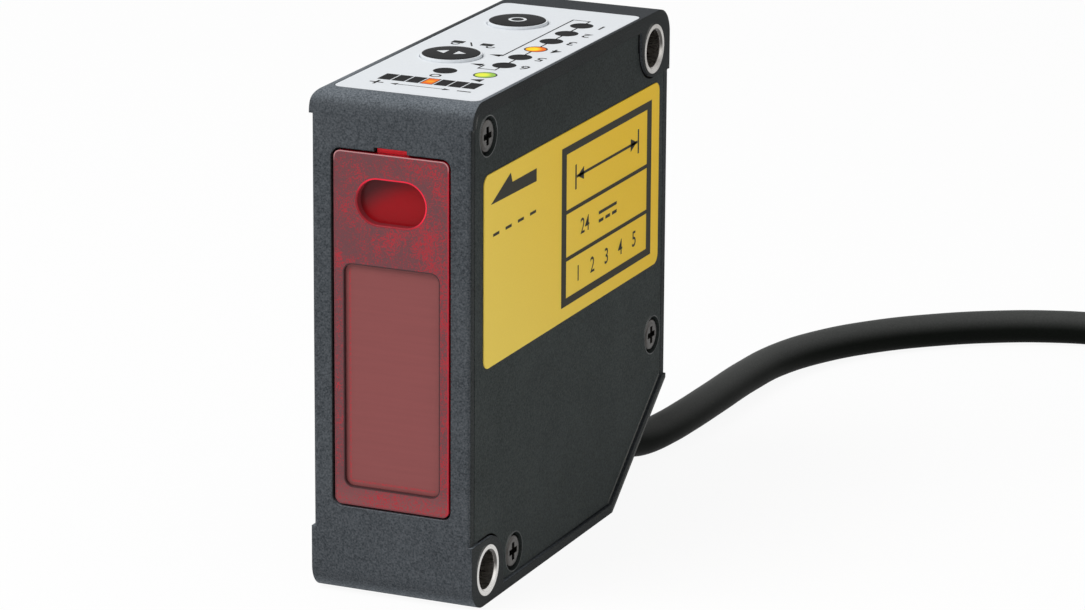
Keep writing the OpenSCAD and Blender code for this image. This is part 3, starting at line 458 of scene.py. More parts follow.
def sticker_film():
    """Yellow film, a little deeper toward its upper rear corner, with a faint grain."""
    material, tree, shader = new_material("sticker_yellow", specular_ior_level=0.05)
    axes = axes_of(tree)
    grain = noise(tree, 0.25, detail=3)
    toward_rear_top = step(tree, math_node(tree, "ADD", axes["Y"], axes["Z"]), 0, 70 * MM)
    pale = blend(tree, grain, (0.94, 0.70, 0.115), (1.0, 0.75, 0.14))
    deep = blend(tree, grain, (0.88, 0.56, 0.028), (0.96, 0.62, 0.045))
    plug_in(
        tree, shader,
        base_color=blend(tree, toward_rear_top, pale, deep),
        roughness=spread_to(tree, grain, 0.4, 0.52),
        normal=bump(tree, grain, 0.003, rounded_normal(tree, 0.1)),
    )
    return material


def deep_red(name, bright, dim, share, glow=0.0):
    """Clear red plastic; share gives each spot's painted light and shade from the axes, and glow is a
    painted glow given off by it.
    """
    material, tree, shader = new_material(name, specular_ior_level=0.1, emission_strength=glow)
    grain = noise(tree, 1.2)
    unrest = spread_to(tree, grain, -0.08, 0.08)
    level = math_node(tree, "ADD", share(tree, axes_of(tree)), unrest, clamp=True)
    colour = blend(tree, level, dim, bright)
    plug_in(
        tree, shader,
        base_color=colour,
        emission_color=colour,
        roughness=spread_to(tree, grain, 0.15, 0.3),
    )
    return material


def lit_toward_low_right(tree, axes):
    """Painted shade: the beam window is darkest at its upper left."""
    right = math_node(tree, "DIVIDE", axes["X"], 0.5 * OVAL_W * MM)
    below = math_node(tree, "SUBTRACT", OVAL_CENTRE[1] * MM, axes["Z"])
    down = math_node(tree, "DIVIDE", below, 0.5 * OVAL_H * MM)
    return step(tree, math_node(tree, "ADD", right, down), -1.3, 0.1)


def mouth_highlight(tree, axes):
    """Painted highlight: the wall of the beam opening is bright at its mouth, most at the upper right."""
    mouth = step(tree, axes["Y"], (PLATE_Y + 0.3) * MM, (PLATE_Y + 0.08) * MM)
    up = math_node(tree, "SUBTRACT", axes["Z"], OVAL_CENTRE[1] * MM)
    rightward = product(tree, axes["X"], 0.5)
    upper_right = step(tree, math_node(tree, "ADD", rightward, up), -2.2 * MM, 1.2 * MM)
    return product(tree, mouth, spread_to(tree, upper_right, 0.12, 1.0))


def lit_lamp(name, centres, core, rim):
    """Glowing lamp windows, brightest at the given centres; a raised centre gives a weaker core."""
    unlit = [0.15 * value for value in rim]
    material, tree, shader = new_material(
        name, roughness=0.4, specular_ior_level=0.01, emission_strength=0.9, base_color=(*unlit, 1),
    )
    level = {0: place_of(tree), 1: (1, 1, 0)}
    flat = add_node(tree, "ShaderNodeVectorMath", level, operation="MULTIPLY").outputs[0]
    reach = 1.0
    for centre in centres:
        sockets = {0: flat, 1: mm(*centre)}
        away = add_node(tree, "ShaderNodeVectorMath", sockets, operation="DISTANCE").outputs["Value"]
        reach = math_node(tree, "MINIMUM", away, reach)
    glow = step(tree, reach, 0.95 * LAMP_R * MM, 0.35 * LAMP_R * MM)
    grain = noise(tree, 0.3)
    tone = math_node(tree, "MULTIPLY", glow, spread_to(tree, grain, 0.8, 1.2), clamp=True)
    plug_in(tree, shader, emission_color=blend(tree, tone, rim, core))
    return material


def circuit_board():
    """Green solder mask over fine copper tracks."""
    material, tree, shader = new_material("board_green", roughness=0.4)
    sockets = {"Vector": place_of(tree), "Scale": 900.0, "Mortar Size": 0.08}
    tracks = add_node(tree, "ShaderNodeTexBrick", sockets).outputs["Fac"]
    grain = noise(tree, 0.5)
    mask = blend(tree, grain, (0.006, 0.085, 0.036), (0.010, 0.12, 0.05))
    plug_in(
        tree, shader,
        base_color=blend(tree, tracks, mask, (0.05, 0.22, 0.09)),
        normal=bump(tree, tracks, 0.03),
    )
    return material


def clear_glass():
    material, tree, shader = new_material("lens_glass", transmission_weight=1.0, ior=1.52)
    haze = noise(tree, 1.5)
    plug_in(
        tree, shader,
        base_color=blend(tree, haze, (0.82, 0.9, 0.96), (0.9, 0.95, 1.0)),
        roughness=spread_to(tree, haze, 0.0, 0.04),
    )
    return material


# brown, blue, black, white and grey
LEAD_COLOURS = [
    (0.16, 0.06, 0.02), (0.02, 0.06, 0.35), (0.02, 0.02, 0.02), (0.75, 0.75, 0.75), (0.3, 0.3, 0.32),
]


def wire_sheath():
    """Five lead colours in patches."""
    material, tree, shader = new_material("wire_sheath", roughness=0.45)
    palette = add_node(tree, "ShaderNodeValToRGB", {"Fac": noise(tree, 1.1, detail=0)})
    ramp = palette.color_ramp
    ramp.interpolation = "CONSTANT"
    for index, colour in enumerate(LEAD_COLOURS):
        place = 0.3 + 0.1 * index
        stop = ramp.elements[0] if index == 0 else ramp.elements.new(place)
        stop.position = place
        stop.color = (*colour, 1)
    ramp.elements.remove(ramp.elements[-1])
    plug_in(tree, shader, base_color=palette.outputs[0])
    return material


DULL = {"specular_ior_level": 0.01}
MATERIALS = {
    # housing: painted shade on the broad sides and the top's rear, a painted sheen on the top's front
    "housing_paint": sandy_paint(
        "housing_paint", (0.030, 0.035, 0.040), (0.098, 0.108, 0.119),
        side_shade_tint=(0.56, 0.55, 0.50), top_shade_and_sheen=(0.5, 2.2), edge_mm=0.25,
    ),
    "cover_paint": sandy_paint(
        "cover_paint", (0.020, 0.025, 0.024), (0.062, 0.071, 0.070),
        side_shade_tint=(1, 1, 1), top_shade_and_sheen=(1, 1), edge_mm=0.15,
    ),
    "seal_rubber": soft_rubber("seal_rubber", (0.010, 0.010, 0.010), (0.022, 0.022, 0.022)),
    "screw_steel": turned_metal("screw_steel", (0.035, 0.033, 0.031), (0.095, 0.09, 0.085), 0.34),
    "bush_nickel": bush_metal(),
    "window_red": tinted_window(),
    # emitter window: painted shade toward its upper left
    "emitter_red": deep_red("emitter_red", (0.30, 0.007, 0.011), (0.10, 0.018, 0.021), lit_toward_low_right),
    "film_white": smooth_plastic("film_white", (0.76, 0.79, 0.82), (0.82, 0.85, 0.88), 0.45, 0.3, **DULL),
    "lamp_dark": smooth_plastic(
        "lamp_dark", (0.010, 0.010, 0.011), (0.018, 0.018, 0.019), 0.45, 0.6, **DULL,
    ),
    "lamp_orange": lit_lamp("lamp_orange", ORANGE_CORES, (1.0, 0.78, 0.02), (0.84, 0.15, 0.008)),
    "lamp_green": lit_lamp("lamp_green", GREEN_CORES, (0.88, 0.88, 0.06), (0.30, 0.52, 0.08)),
    "sticker_yellow": sticker_film(),
    "board_green": circuit_board(),
    "chip_black": smooth_plastic("chip_black", (0.012, 0.012, 0.013), (0.030, 0.030, 0.031), 0.45),
    "bench_alloy": turned_metal("bench_alloy", (0.36, 0.36, 0.37), (0.55, 0.55, 0.56), 0.42),
    "brass_gold": turned_metal("brass_gold", (0.55, 0.38, 0.12), (0.78, 0.58, 0.24), 0.26, (3, 0.3, 3)),
    "lens_glass": clear_glass(),
    "cable_black": cable_jacket(),
    "plug_black": soft_rubber("plug_black", (0.010, 0.010, 0.011), (0.024, 0.024, 0.025)),
    "coupling_nickel": turned_metal("coupling_nickel", (0.50, 0.49, 0.47), (0.76, 0.74, 0.71), 0.25),
    "terminal_green": smooth_plastic("terminal_green", (0.02, 0.16, 0.05), (0.04, 0.22, 0.08), 0.4),
    "wire_sheath": wire_sheath(),
}
# a darker copy of the coupling's nickel, painted shade on the thread ridges
SHADED_THREAD_NICKEL = turned_metal("shaded_thread_nickel", (0.24, 0.23, 0.22), (0.42, 0.41, 0.39), 0.3)
INK = smooth_plastic("ink", (0.018, 0.018, 0.018), (0.034, 0.034, 0.033), 0.5, 0.2, **DULL)
STICKER_INK = smooth_plastic("sticker_ink", (0.048, 0.048, 0.040), (0.072, 0.070, 0.058), 0.5, 0.2, **DULL)
KEY_BLACK = smooth_plastic("key_black", (0.012, 0.012, 0.013), (0.022, 0.022, 0.023), 0.4, 0.3, **DULL)
WHITE_INK = smooth_plastic("white_ink", (0.70, 0.72, 0.74), (0.82, 0.84, 0.86), 0.45, 0.2, **DULL)
# near black for the painted shade along the pad seams
SEAM_SHADOW_BLACK = smooth_plastic("seam_shadow_black", (0.002, 0.002, 0.002), (0.012, 0.012, 0.012), 0.7, 0.8, **DULL)
# painted highlight for the screw pocket edges, broken up by broad grain
POCKET_EDGE_HIGHLIGHT = smooth_plastic("pocket_edge_highlight", (0.010, 0.012, 0.012), (0.26, 0.27, 0.27), 0.6, 2.0, **DULL)
# painted glow and a painted highlight on the beam opening's edge
RIM_RED = deep_red("rim_red", (0.70, 0.015, 0.040), (0.13, 0.016, 0.020), mouth_highlight, glow=0.4)


def paint_nodes():
    """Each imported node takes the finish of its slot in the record."""
    for part in frame["record"]["subparts"]:
        shape = frame["nodes"][part["node"]]
        shape.data.materials.clear()
        shape.data.materials.append(MATERIALS[part["material_slot"]])


# Building blocks for added pieces


def finish_piece(name, mesh, material, body):
    """A new piece with its finish, on the body that carries it."""
    piece = bpy.data.objects.new(name, mesh)
    mesh.materials.append(material)
    bpy.context.scene.collection.objects.link(piece)
    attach(piece, body)


def mesh_of(name, shape, smooth=False):
    mesh = bpy.data.meshes.new(name)
    bmesh.ops.recalc_face_normals(shape, faces=shape.faces[:])
    shape.to_mesh(mesh)
    shape.free()
    if smooth:
        mesh.shade_smooth()
    return mesh


def join_rings(shape, rings):
    """Faces between rings of points that follow each other."""
    for first, second in zip(rings, rings[1:]):
        for i in range(len(first)):
            j = (i + 1) % len(first)
            shape.faces.new((first[i], first[j], second[j], second[i]))


def arc(centre, radius, start_deg, end_deg, count=12):
    points = []
    for i in range(count + 1):
        angle = math.radians(start_deg + (end_deg - start_deg) * i / count)
        points.append((centre[0] + radius * math.cos(angle), centre[1] + radius * math.sin(angle)))
    return points


def circle(centre, radius, count=48):
    return arc(centre, radius, 0, 360, count)[:-1]


def stadium(centre, width, height, count=24):
    """A level oval with round ends, as points."""
    half = (width - height) / 2
    points = []
    for side, start in ((1, -90), (-1, 90)):
        points += arc((centre[0] + side * half, centre[1]), height / 2, start, start + 180, count)
    return points


def rectangle(x0, y0, x1, y1):
    return [(x0, y0), (x1, y0), (x1, y1), (x0, y1)]


def rounded_rectangle(x0, y0, x1, y1, radius, count=8):
    left, right, low, high = x0 + radius, x1 - radius, y0 + radius, y1 - radius
    points = []
    for x, y, start in ((right, high, 0), (left, high, 90), (left, low, 180), (right, low, 270)):
        points += arc((x, y), radius, start, start + 90, count)
    return points


# share of the font's size that a digit is tall
DIGIT_SHARE = 0.7
DIGIT_THICKEN = 0.02


class Print:
    """Flat ink on one face: shapes are drawn in the face's own two directions, in millimetres."""

    def __init__(self, origin, across, along):
        self.shape = bmesh.new()
        self.origin, self.across, self.along = Vector(origin), Vector(across), Vector(along)

    def spot(self, point):
        return (self.origin + self.across * point[0] + self.along * point[1]) * MM

    def fill(self, points):
        self.shape.faces.new([self.shape.verts.new(self.spot(p)) for p in points])

    def band(self, outer, inner):
        """The strip between two closed outlines with equal numbers of points."""
        loops = [[self.shape.verts.new(self.spot(p)) for p in outline] for outline in (outer, inner)]
        join_rings(self.shape, loops)

    def line(self, points, width):
        """Straight strokes through the points, lengthened by half a width so that the corners close."""
        for start, end in zip(points, points[1:]):
            a, b = Vector(start), Vector(end)
            ahead = (b - a).normalized() * width / 2
            beside = Vector((-ahead.y, ahead.x))
            self.fill([a - ahead - beside, b + ahead - beside, b + ahead + beside, a - ahead + beside])

    def arrow_head(self, tip, heading_deg, length, half_width):
        ahead = Vector((math.cos(math.radians(heading_deg)), math.sin(math.radians(heading_deg))))
        beside = Vector((-ahead.y, ahead.x))
        back = Vector(tip) - ahead * length
        self.fill([Vector(tip), back + beside * half_width, back - beside * half_width])

    def number(self, text, centre, height, turn_deg=0):
        """Plain digits in Blender's own font."""
        letters = bpy.data.curves.new("digits", "FONT")
        letters.body = text
        letters.size = height / DIGIT_SHARE
        letters.align_x = "CENTER"
        letters.align_y = "CENTER"
        letters.offset = DIGIT_THICKEN
        holder = bpy.data.objects.new("digits", letters)
        flat = bpy.data.meshes.new_from_object(holder)
        bpy.data.objects.remove(holder)
        turn = Matrix.Rotation(math.radians(turn_deg), 2)
        verts = []
        for vertex in flat.vertices:
            verts.append(self.shape.verts.new(self.spot(turn @ vertex.co.xy + Vector(centre))))
        for face in flat.polygons:
            self.shape.faces.new([verts[i] for i in face.vertices])
        bpy.data.meshes.remove(flat)

    def piece(self, name, material, body, slot):
        finish_piece(name, mesh_of(name, self.shape), material, body)


def film_print(lift=PRINT_LIFT, z=TOP_Z):
    return Print((0, 0, z + lift), (1, 0, 0), (0, 1, 0))


def cover_print():
    return Print((SIDE_X + PRINT_LIFT, 0, 0), (0, 1, 0), (0, 0, 1))


def sticker_print():
    return Print((STICKER_X + PRINT_LIFT, 0, 0), (0, 1, 0), (0, 0, 1))


# Cable

CABLE_D = 4.4
CABLE_ROUTE = [
    (3.5, 5.95, 11.12), (3.5, 12.95, 8.86), (3.5, 20.45, 6.42), (3.5, 24.95, 4.96), (3.6, 28.4, 3.86),
    (4.2, 31.9, 2.8), (4.9, 35.5, 2.3), (5.5, 40, 2.2), (5.9, 45.4, 2.2), (6.2, 54.5, 2.2), (6.5, 65.4, 2.2),
    (7.5, 73.9, 2.2), (10.4, 82, 2.2), (15.1, 89.3, 2.2), (21.4, 95.7, 2.2), (29, 101.1, 2.2),
    (35.4, 104.1, 2.2), (41.4, 105.6, 2.2), (49, 105, 2.4), (55.9, 101.8, 3.6), (60.6, 97.3, 5.5),
    (63.6, 92.3, 7), (65.32, 87.68, 7.3), (66, 85.8, 7.3), (67.37, 82.04, 7.3),
]
PLUG_AT = CABLE_ROUTE[-2]


def add_cable():
    line = bpy.data.curves.new("sensor_cable", "CURVE")
    line.dimensions = "3D"
    line.bevel_depth = CABLE_D / 2 * MM
    line.bevel_resolution = 8
    line.resolution_u = 8
    line.use_fill_caps = True
    spline = line.splines.new("BEZIER")
    spline.bezier_points.add(len(CABLE_ROUTE) - 1)
    for knot, point in zip(spline.bezier_points, CABLE_ROUTE):
        knot.co = mm(*point)
        knot.handle_left_type = knot.handle_right_type = "AUTO"
    line.materials.append(MATERIALS["cable_black"])
    cable = bpy.data.objects.new("sensor_cable", line)
    bpy.context.scene.collection.objects.link(cable)
    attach(cable, "sensor")
    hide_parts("cable")


# Panel prints, keys and lamps

LINE_W = 0.2
UPPER_BRANCH = [(2.0, -4.7), (2.98, -4.7), (2.98, 15.8), (LAMP_X, 15.8), (LAMP_X, 14.6)]
UPPER_TIP = (1.3, -4.7)
LOWER_BRANCH = [(2.0, -9.8), (3.0, -9.8), (3.0, -11.5), (LAMP_X, -11.5), (LAMP_X, -10.25)]
LOWER_TIP = (1.25, -9.8)
DIGIT_TURN = 180
DIGIT_H = 1.7
SIGN_OUT = 2.6
BRANCH_HEAD = (1.5, 0.55)
START_HEAD = (1.5, 0.7)
RING_SIGN_R = (0.7, 0.45)
SCALE_GAP = 1.5
SCALE_W = 0.3
SCALE_MARK = 1.4
SCALE_HEAD = (0.9, 0.4)
SCALE_TIP_IN = 2.4
SCALE_SPAN_IN = 3.0
LOCK_Y = -1.0
SHUT_LOCK_X = -4.6
OPEN_LOCK_X = -0.9
LOCK_HALF_W = 0.75
LOCK_H = 1.1
SHACKLE_UP = 0.25
SHACKLE_REACH = (0.45, 0.5)
SHACKLE_W = 0.22


def add_panel_print():
    """Branches from the select key to the lamps, the lamps' numbers, and the signs."""
    ink = film_print()
    for branch, tip in ((UPPER_BRANCH, UPPER_TIP), (LOWER_BRANCH, LOWER_TIP)):
        ink.line(branch, LINE_W)
        ink.arrow_head(tip, 180, *BRANCH_HEAD)
    for upper, lower in zip(LAMP_ROW_Y, LAMP_ROW_Y[1:]):
        ink.line([(LAMP_X, upper - LAMP_R), (LAMP_X, lower + LAMP_R)], LINE_W)
    for index, y in enumerate(LAMP_ROW_Y):
        ink.number(str(index + 1), (LAMP_X + SIGN_OUT, y), DIGIT_H, DIGIT_TURN)
    add_panel_symbols(ink)
    ink.piece("panel_print", INK, "sensor", "lamp_dark")


def add_panel_symbols(ink):
    """Plain signs where the film has words: a start mark, a ring, a scale, and a shut and an open lock."""
    ink.arrow_head((RUN_LAMP[0] - 0.7, RUN_LAMP[1] - SIGN_OUT), 180, *START_HEAD)
    ring_at = (TEACH_LAMP[0], TEACH_LAMP[1] - SIGN_OUT)
    ink.band(*[circle(ring_at, radius) for radius in RING_SIGN_R])
    add_scale(ink)
    padlock(ink, (SHUT_LOCK_X, LOCK_Y), 0)
    ink.line([(-3.1, LOCK_Y + 0.8), (-2.3, LOCK_Y - 0.7)], LINE_W)
    padlock(ink, (OPEN_LOCK_X, LOCK_Y), 0.8)


def add_scale(ink):
    """A plus, a span with two arrow heads and a minus, beside the distance bar."""
    y = BAR_CENTRE[1] - BAR_L / 2 - SCALE_GAP
    left, right = BAR_CENTRE[0] - BAR_W / 2, BAR_CENTRE[0] + BAR_W / 2
    half = SCALE_MARK / 2
    ink.line([(right - SCALE_MARK, y), (right, y)], SCALE_W)
    ink.line([(left, y), (left + SCALE_MARK, y)], SCALE_W)
    ink.line([(left + half, y - half), (left + half, y + half)], SCALE_W)
    ink.line([(left + SCALE_SPAN_IN, y), (right - SCALE_SPAN_IN, y)], SCALE_W / 2)
    ink.arrow_head((left + SCALE_TIP_IN, y), 180, *SCALE_HEAD)
    ink.arrow_head((right - SCALE_TIP_IN, y), 0, *SCALE_HEAD)


def padlock(ink, centre, shift):
    """A small lock sign, read from the back like the digits; a shifted shackle means open."""
    x, y = centre
    ink.fill(rectangle(x - LOCK_HALF_W, y, x + LOCK_HALF_W, y + LOCK_H))
    turn = arc((0, 0), 1, 180, 360)
    wide, high = SHACKLE_REACH
    ink.line([(x + shift + wide * a, y - SHACKLE_UP + high * b) for a, b in turn], SHACKLE_W)


# how far the rings reach past the edge of a segment or a lamp, outside and inside
SEGMENT_RING = (0.07, -0.06)
LAMP_RING = (0.1, -0.08)


def add_lamp_rings():
    """A fine dark ring round every lamp window and bar segment."""
    ink = film_print()
    for i in range(-(SEGMENTS // 2), SEGMENTS // 2 + 1):
        x, y = BAR_CENTRE[0] + i * SEGMENT_PITCH, BAR_CENTRE[1]
        sizes = [(SEGMENT_W / 2 + grow, BAR_L / 2 + grow) for grow in SEGMENT_RING]
        ink.band(*[rectangle(x - w, y - h, x + w, y + h) for w, h in sizes])
    for centre in [(LAMP_X, y) for y in LAMP_ROW_Y] + [RUN_LAMP, TEACH_LAMP]:
        ink.band(*[circle(centre, LAMP_R + grow) for grow in LAMP_RING])
    ink.piece("lamp_rings", INK, "sensor", "lamp_dark")


# radius and height of the rings of a key's black crown, from the outside in, and the height of its middle
KEY_CROWN = [(KEY_R - 0.18, 0), (KEY_R - 0.22, 0.03), (KEY_R - 0.5, 0.05), (1.6, 0.09)]
KEY_CROWN_H = 0.1
KEY_POINTS = 64
KEY_SIGN_LIFT = KEY_CROWN_H + 0.015
SET_SIGN_R = (1.1, 0.75)
SELECT_TIP_OUT = 1.9
SELECT_HEAD = (1.3, 0.8)


def add_key_top(name, centre, body):
    """A black crowned disc inset in the pale key, with a fine step round it."""
    shape = bmesh.new()
    rings = []
    for radius, height in KEY_CROWN:
        outline = circle(centre, radius, KEY_POINTS)
        rings.append([shape.verts.new(mm(*point, KEY_TOP_Z + height)) for point in outline])
    middle = shape.verts.new(mm(*centre, KEY_TOP_Z + KEY_CROWN_H))
    join_rings(shape, rings)
    inner = rings[-1]
    for i in range(KEY_POINTS):
        shape.faces.new((inner[i], inner[(i + 1) % KEY_POINTS], middle))
    finish_piece(name, mesh_of(name, shape, smooth=True), KEY_BLACK, body)


def add_key_signs():
    set_sign = film_print(KEY_SIGN_LIFT, KEY_TOP_Z)
    set_sign.band(*[circle(SET_KEY, radius) for radius in SET_SIGN_R])
    set_sign.piece("set_key_sign", WHITE_INK, "set_key", "film_white")
    select_sign = film_print(KEY_SIGN_LIFT, KEY_TOP_Z)
    for side, heading in ((-1, 180), (1, 0)):
        tip = (SELECT_KEY[0] + side * SELECT_TIP_OUT, SELECT_KEY[1])
        select_sign.arrow_head(tip, heading, *SELECT_HEAD)
    select_sign.piece("select_key_sign", WHITE_INK, "select_key", "film_white")


# Side sticker print

STICKER_FRAME = (-3.35, 29.75, 23.53, 49.05)
FRAME_SIDE = 1.4
FRAME_BAR = 0.95
DIVIDERS_Z = (41.1, 35.4)
DIVIDER_W = 0.5
STICKER_DIGIT_H = 1.9
RANGE_Y = (1.2, 19.0)
RANGE_Z = 44.8
RANGE_W = 0.35
RANGE_HEAD = (1.9, 0.8)
END_MARK_OUT = 0.45
END_MARK_HALF = 1.5
SUPPLY_AT = (3.5, 38.3)
CURRENT_Y = (7.6, 13.0)
CURRENT_DASHES_Y = (7.6, 9.6, 11.6)
CURRENT_DASH_L = 1.4
STROKE = 0.4
LEADS = 5
LEADS_AT = (1.6, 32.8)
LEAD_PITCH = 4.2
DASHES_AT = (-22.6, 43.3)
DASH_PITCH = 3.4
DASHES = 4
DASH_L = 1.7
DASH_W = 0.35
ARROW = [(-23.24, 47.2), (-10.56, 47.0), (-10.56, 48.53), (-17.32, 48.52), (-17.8, 49.72)]


def add_range_sign(ink):
    """A measuring span between two end marks."""
    (y0, y1), z = RANGE_Y, RANGE_Z
    ink.line([(y0, z), (y1, z)], RANGE_W)
    ink.arrow_head((y0, z), 180, *RANGE_HEAD)
    ink.arrow_head((y1, z), 0, *RANGE_HEAD)
    for y in (y0 - END_MARK_OUT, y1 + END_MARK_OUT):
        ink.fill(rectangle(y - STROKE / 2, z - END_MARK_HALF, y + STROKE / 2, z + END_MARK_HALF))


def add_supply_sign(ink):
    """A supply figure with the sign for direct current."""
    ink.number("24", SUPPLY_AT, STICKER_DIGIT_H)
    upper, lower = SUPPLY_AT[1] + 0.25, SUPPLY_AT[1] - 0.75
    ink.fill(rectangle(CURRENT_Y[0], upper, CURRENT_Y[1], upper + STROKE))
    for y in CURRENT_DASHES_Y:
        ink.fill(rectangle(y, lower, y + CURRENT_DASH_L, lower + STROKE))


def add_sticker_print():
    ink = sticker_print()
    y0, z0, y1, z1 = STICKER_FRAME
    inside = (y0 + FRAME_SIDE, z0 + FRAME_BAR, y1 - FRAME_SIDE, z1 - FRAME_BAR)
    ink.band(rectangle(*STICKER_FRAME), rectangle(*inside))
    for z in DIVIDERS_Z:
        ink.fill(rectangle(inside[0], z - DIVIDER_W / 2, inside[2], z + DIVIDER_W / 2))
    ink.fill(ARROW)
    for i in range(DASHES):
        y, z = DASHES_AT[0] + DASH_PITCH * i, DASHES_AT[1]
        ink.fill(rectangle(y, z, y + DASH_L, z + DASH_W))
    add_range_sign(ink)
    add_supply_sign(ink)
    for i in range(LEADS):
        ink.number(str(i + 1), (LEADS_AT[0] + LEAD_PITCH * i, LEADS_AT[1]), STICKER_DIGIT_H)
    ink.piece("sticker_print", STICKER_INK, "sensor", "sticker_yellow")


# Front window dressing

CHAMFER_W = 0.12
CHAMFER_FROM_DEG = 50
EDGE_INSETS = (0.02, 0.15)


def soften_window_edges():
    """A fine chamfer round the plate, the field and the beam opening."""
    plate = frame["nodes"]["front_window"]
    plate.modifiers.new("join", "WELD").merge_threshold = 0.001 * MM
    chamfer = plate.modifiers.new("chamfer", "BEVEL")
    chamfer.width = CHAMFER_W * MM
    chamfer.segments = 2
    chamfer.limit_method = "ANGLE"
    chamfer.angle_limit = math.radians(CHAMFER_FROM_DEG)


def plate_edge_highlight():
    """Painted highlight: pale along the top of the plate, deep red down its right side and dull elsewhere.
    """
    material, tree, shader = new_material("plate_edge_highlight", specular_ior_level=0.2)
    axes = axes_of(tree)
    grain = noise(tree, 0.6)
    top = step(tree, axes["Z"], (PLATE_Z[1] - 1.6) * MM, (PLATE_Z[1] - 0.3) * MM)
    right = step(tree, axes["X"], (PLATE_HALF_W - 0.6) * MM, (PLATE_HALF_W - 0.1) * MM)
    dull = blend(tree, grain, (0.14, 0.045, 0.052), (0.24, 0.05, 0.058))
    colour = blend(tree, top, blend(tree, right, dull, (0.52, 0.016, 0.035)), (0.50, 0.24, 0.25))
    plug_in(tree, shader, base_color=colour, roughness=spread_to(tree, grain, 0.2, 0.35))
    return material


def add_plate_edge():
    """The fine polished chamfer that runs round the front of the plate, as a thin band with a painted
    highlight.
    """
    edge = Print((0, PLATE_Y - PRINT_LIFT, 0), (1, 0, 0), (0, 0, 1))
    loops = []
    for inset in EDGE_INSETS:
        half, low, high = PLATE_HALF_W - inset, PLATE_Z[0] + inset, PLATE_Z[1] - inset
        loops.append(rounded_rectangle(-half, low, half, high, PLATE_R - inset))
    edge.band(*loops)
    edge.piece("plate_edge", plate_edge_highlight(), "sensor", "window_red")


# growth of the oval and depth behind the plate's face, for each ring of the rim
RIM_RINGS = [
    (0.18, -PRINT_LIFT), (0.03, -PRINT_LIFT), (0.0, 0.08), (-0.03, 0.3), (-0.03, OVAL_DEPTH - 0.02),
]


def add_oval_rim():
    """The polished edge of the beam opening, with a painted red glow and a painted highlight at its mouth.
    """
    shape = bmesh.new()
    rings = []
    for grow, depth in RIM_RINGS:
        outline = stadium(OVAL_CENTRE, OVAL_W + 2 * grow, OVAL_H + 2 * grow)
        rings.append([shape.verts.new(mm(x, PLATE_Y + depth, z)) for x, z in outline])
    join_rings(shape, rings)
    finish_piece("oval_rim", mesh_of("oval_rim", shape, smooth=True), RIM_RED, "sensor")


# Cover screws

SCREW_BASE_X = SIDE_X - 1.2
POCKET_R = 2.3
POCKET_RIM_W = 0.13
SCREWS_AT = [(FRONT_Y + 4.85, TOP_Z - 4.5), (BACK_Y - 3.75, 19.1), (FRONT_Y + 12.3, 3.8)]
# radius and height above the head's seat, from the crown out
SCREW_RIM = [(1.405, 1.1), (1.72, 1.06), (1.88, 0.95), (1.95, 0.76), (1.95, 0.6)]


def add_screw_rims():
    """A round shoulder that makes each pan head fuller."""
    shape = bmesh.new()
    for centre in SCREWS_AT:
        rings = []
        for radius, height in SCREW_RIM:
            x = SCREW_BASE_X + height
            rings.append([shape.verts.new(mm(x, y, z)) for y, z in circle(centre, radius)])
        join_rings(shape, rings)
    mesh = mesh_of("screw_rims", shape, smooth=True)
    finish_piece("screw_rims", mesh, MATERIALS["screw_steel"], "sensor")


def add_pocket_rims():
    """A painted highlight on the rounded edge of the paint round each screw pocket."""
    edge = cover_print()
    for centre in SCREWS_AT:
        edge.band(circle(centre, POCKET_R + POCKET_RIM_W), circle(centre, POCKET_R))
    edge.piece("pocket_rims", POCKET_EDGE_HIGHLIGHT, "sensor", "cover_paint")


# Mounting pads

PAD_L = 8.7
PAD_H = 7.9
PAD_R = 4.0
LOW_PAD_TURN = (FRONT_Y + PAD_L - PAD_R, PAD_H - PAD_R)
TOP_PAD_TURN = (BACK_Y - PAD_L + PAD_R, TOP_Z - PAD_H + PAD_R)
SEAM_W = 0.24
SIDE_SEAM_W = 0.5
SIDE_SEAM_TOP = TOP_Z - 1.4
LOW_SEAM_RUN = 2.4


def add_pad_seam_shadows():
    """Painted shade: a dark band along the step beside the upper pad and above the lower one."""
    seam = cover_print()
    radius = PAD_R + SEAM_W / 2
    side = TOP_PAD_TURN[0] - PAD_R - SIDE_SEAM_W / 2
    seam.line([(side, SIDE_SEAM_TOP), (side, TOP_PAD_TURN[1])], SIDE_SEAM_W)
    seam.line(arc(TOP_PAD_TURN, radius, 180, 275), SEAM_W)
    low_start = (LOW_PAD_TURN[0] - LOW_SEAM_RUN, LOW_PAD_TURN[1] + radius)
    seam.line([low_start] + arc(LOW_PAD_TURN, radius, 90, 45), SEAM_W)
    seam.piece("pad_seam_shadows", SEAM_SHADOW_BLACK, "sensor", "housing_paint")


# Coupling thread

PLUG_HEADING = -160
THREAD_SPAN = (35.6, 43.1)
THREAD_ROOT_R = 5.75
THREAD_CREST_R = 6.0
THREAD_PITCH = 1.0
THREAD_STEPS = 32
# radius and place within one pitch
RIDGE = [(THREAD_ROOT_R, 0.05), (THREAD_CREST_R, 0.42), (THREAD_CREST_R, 0.58), (THREAD_ROOT_R, 0.95)]


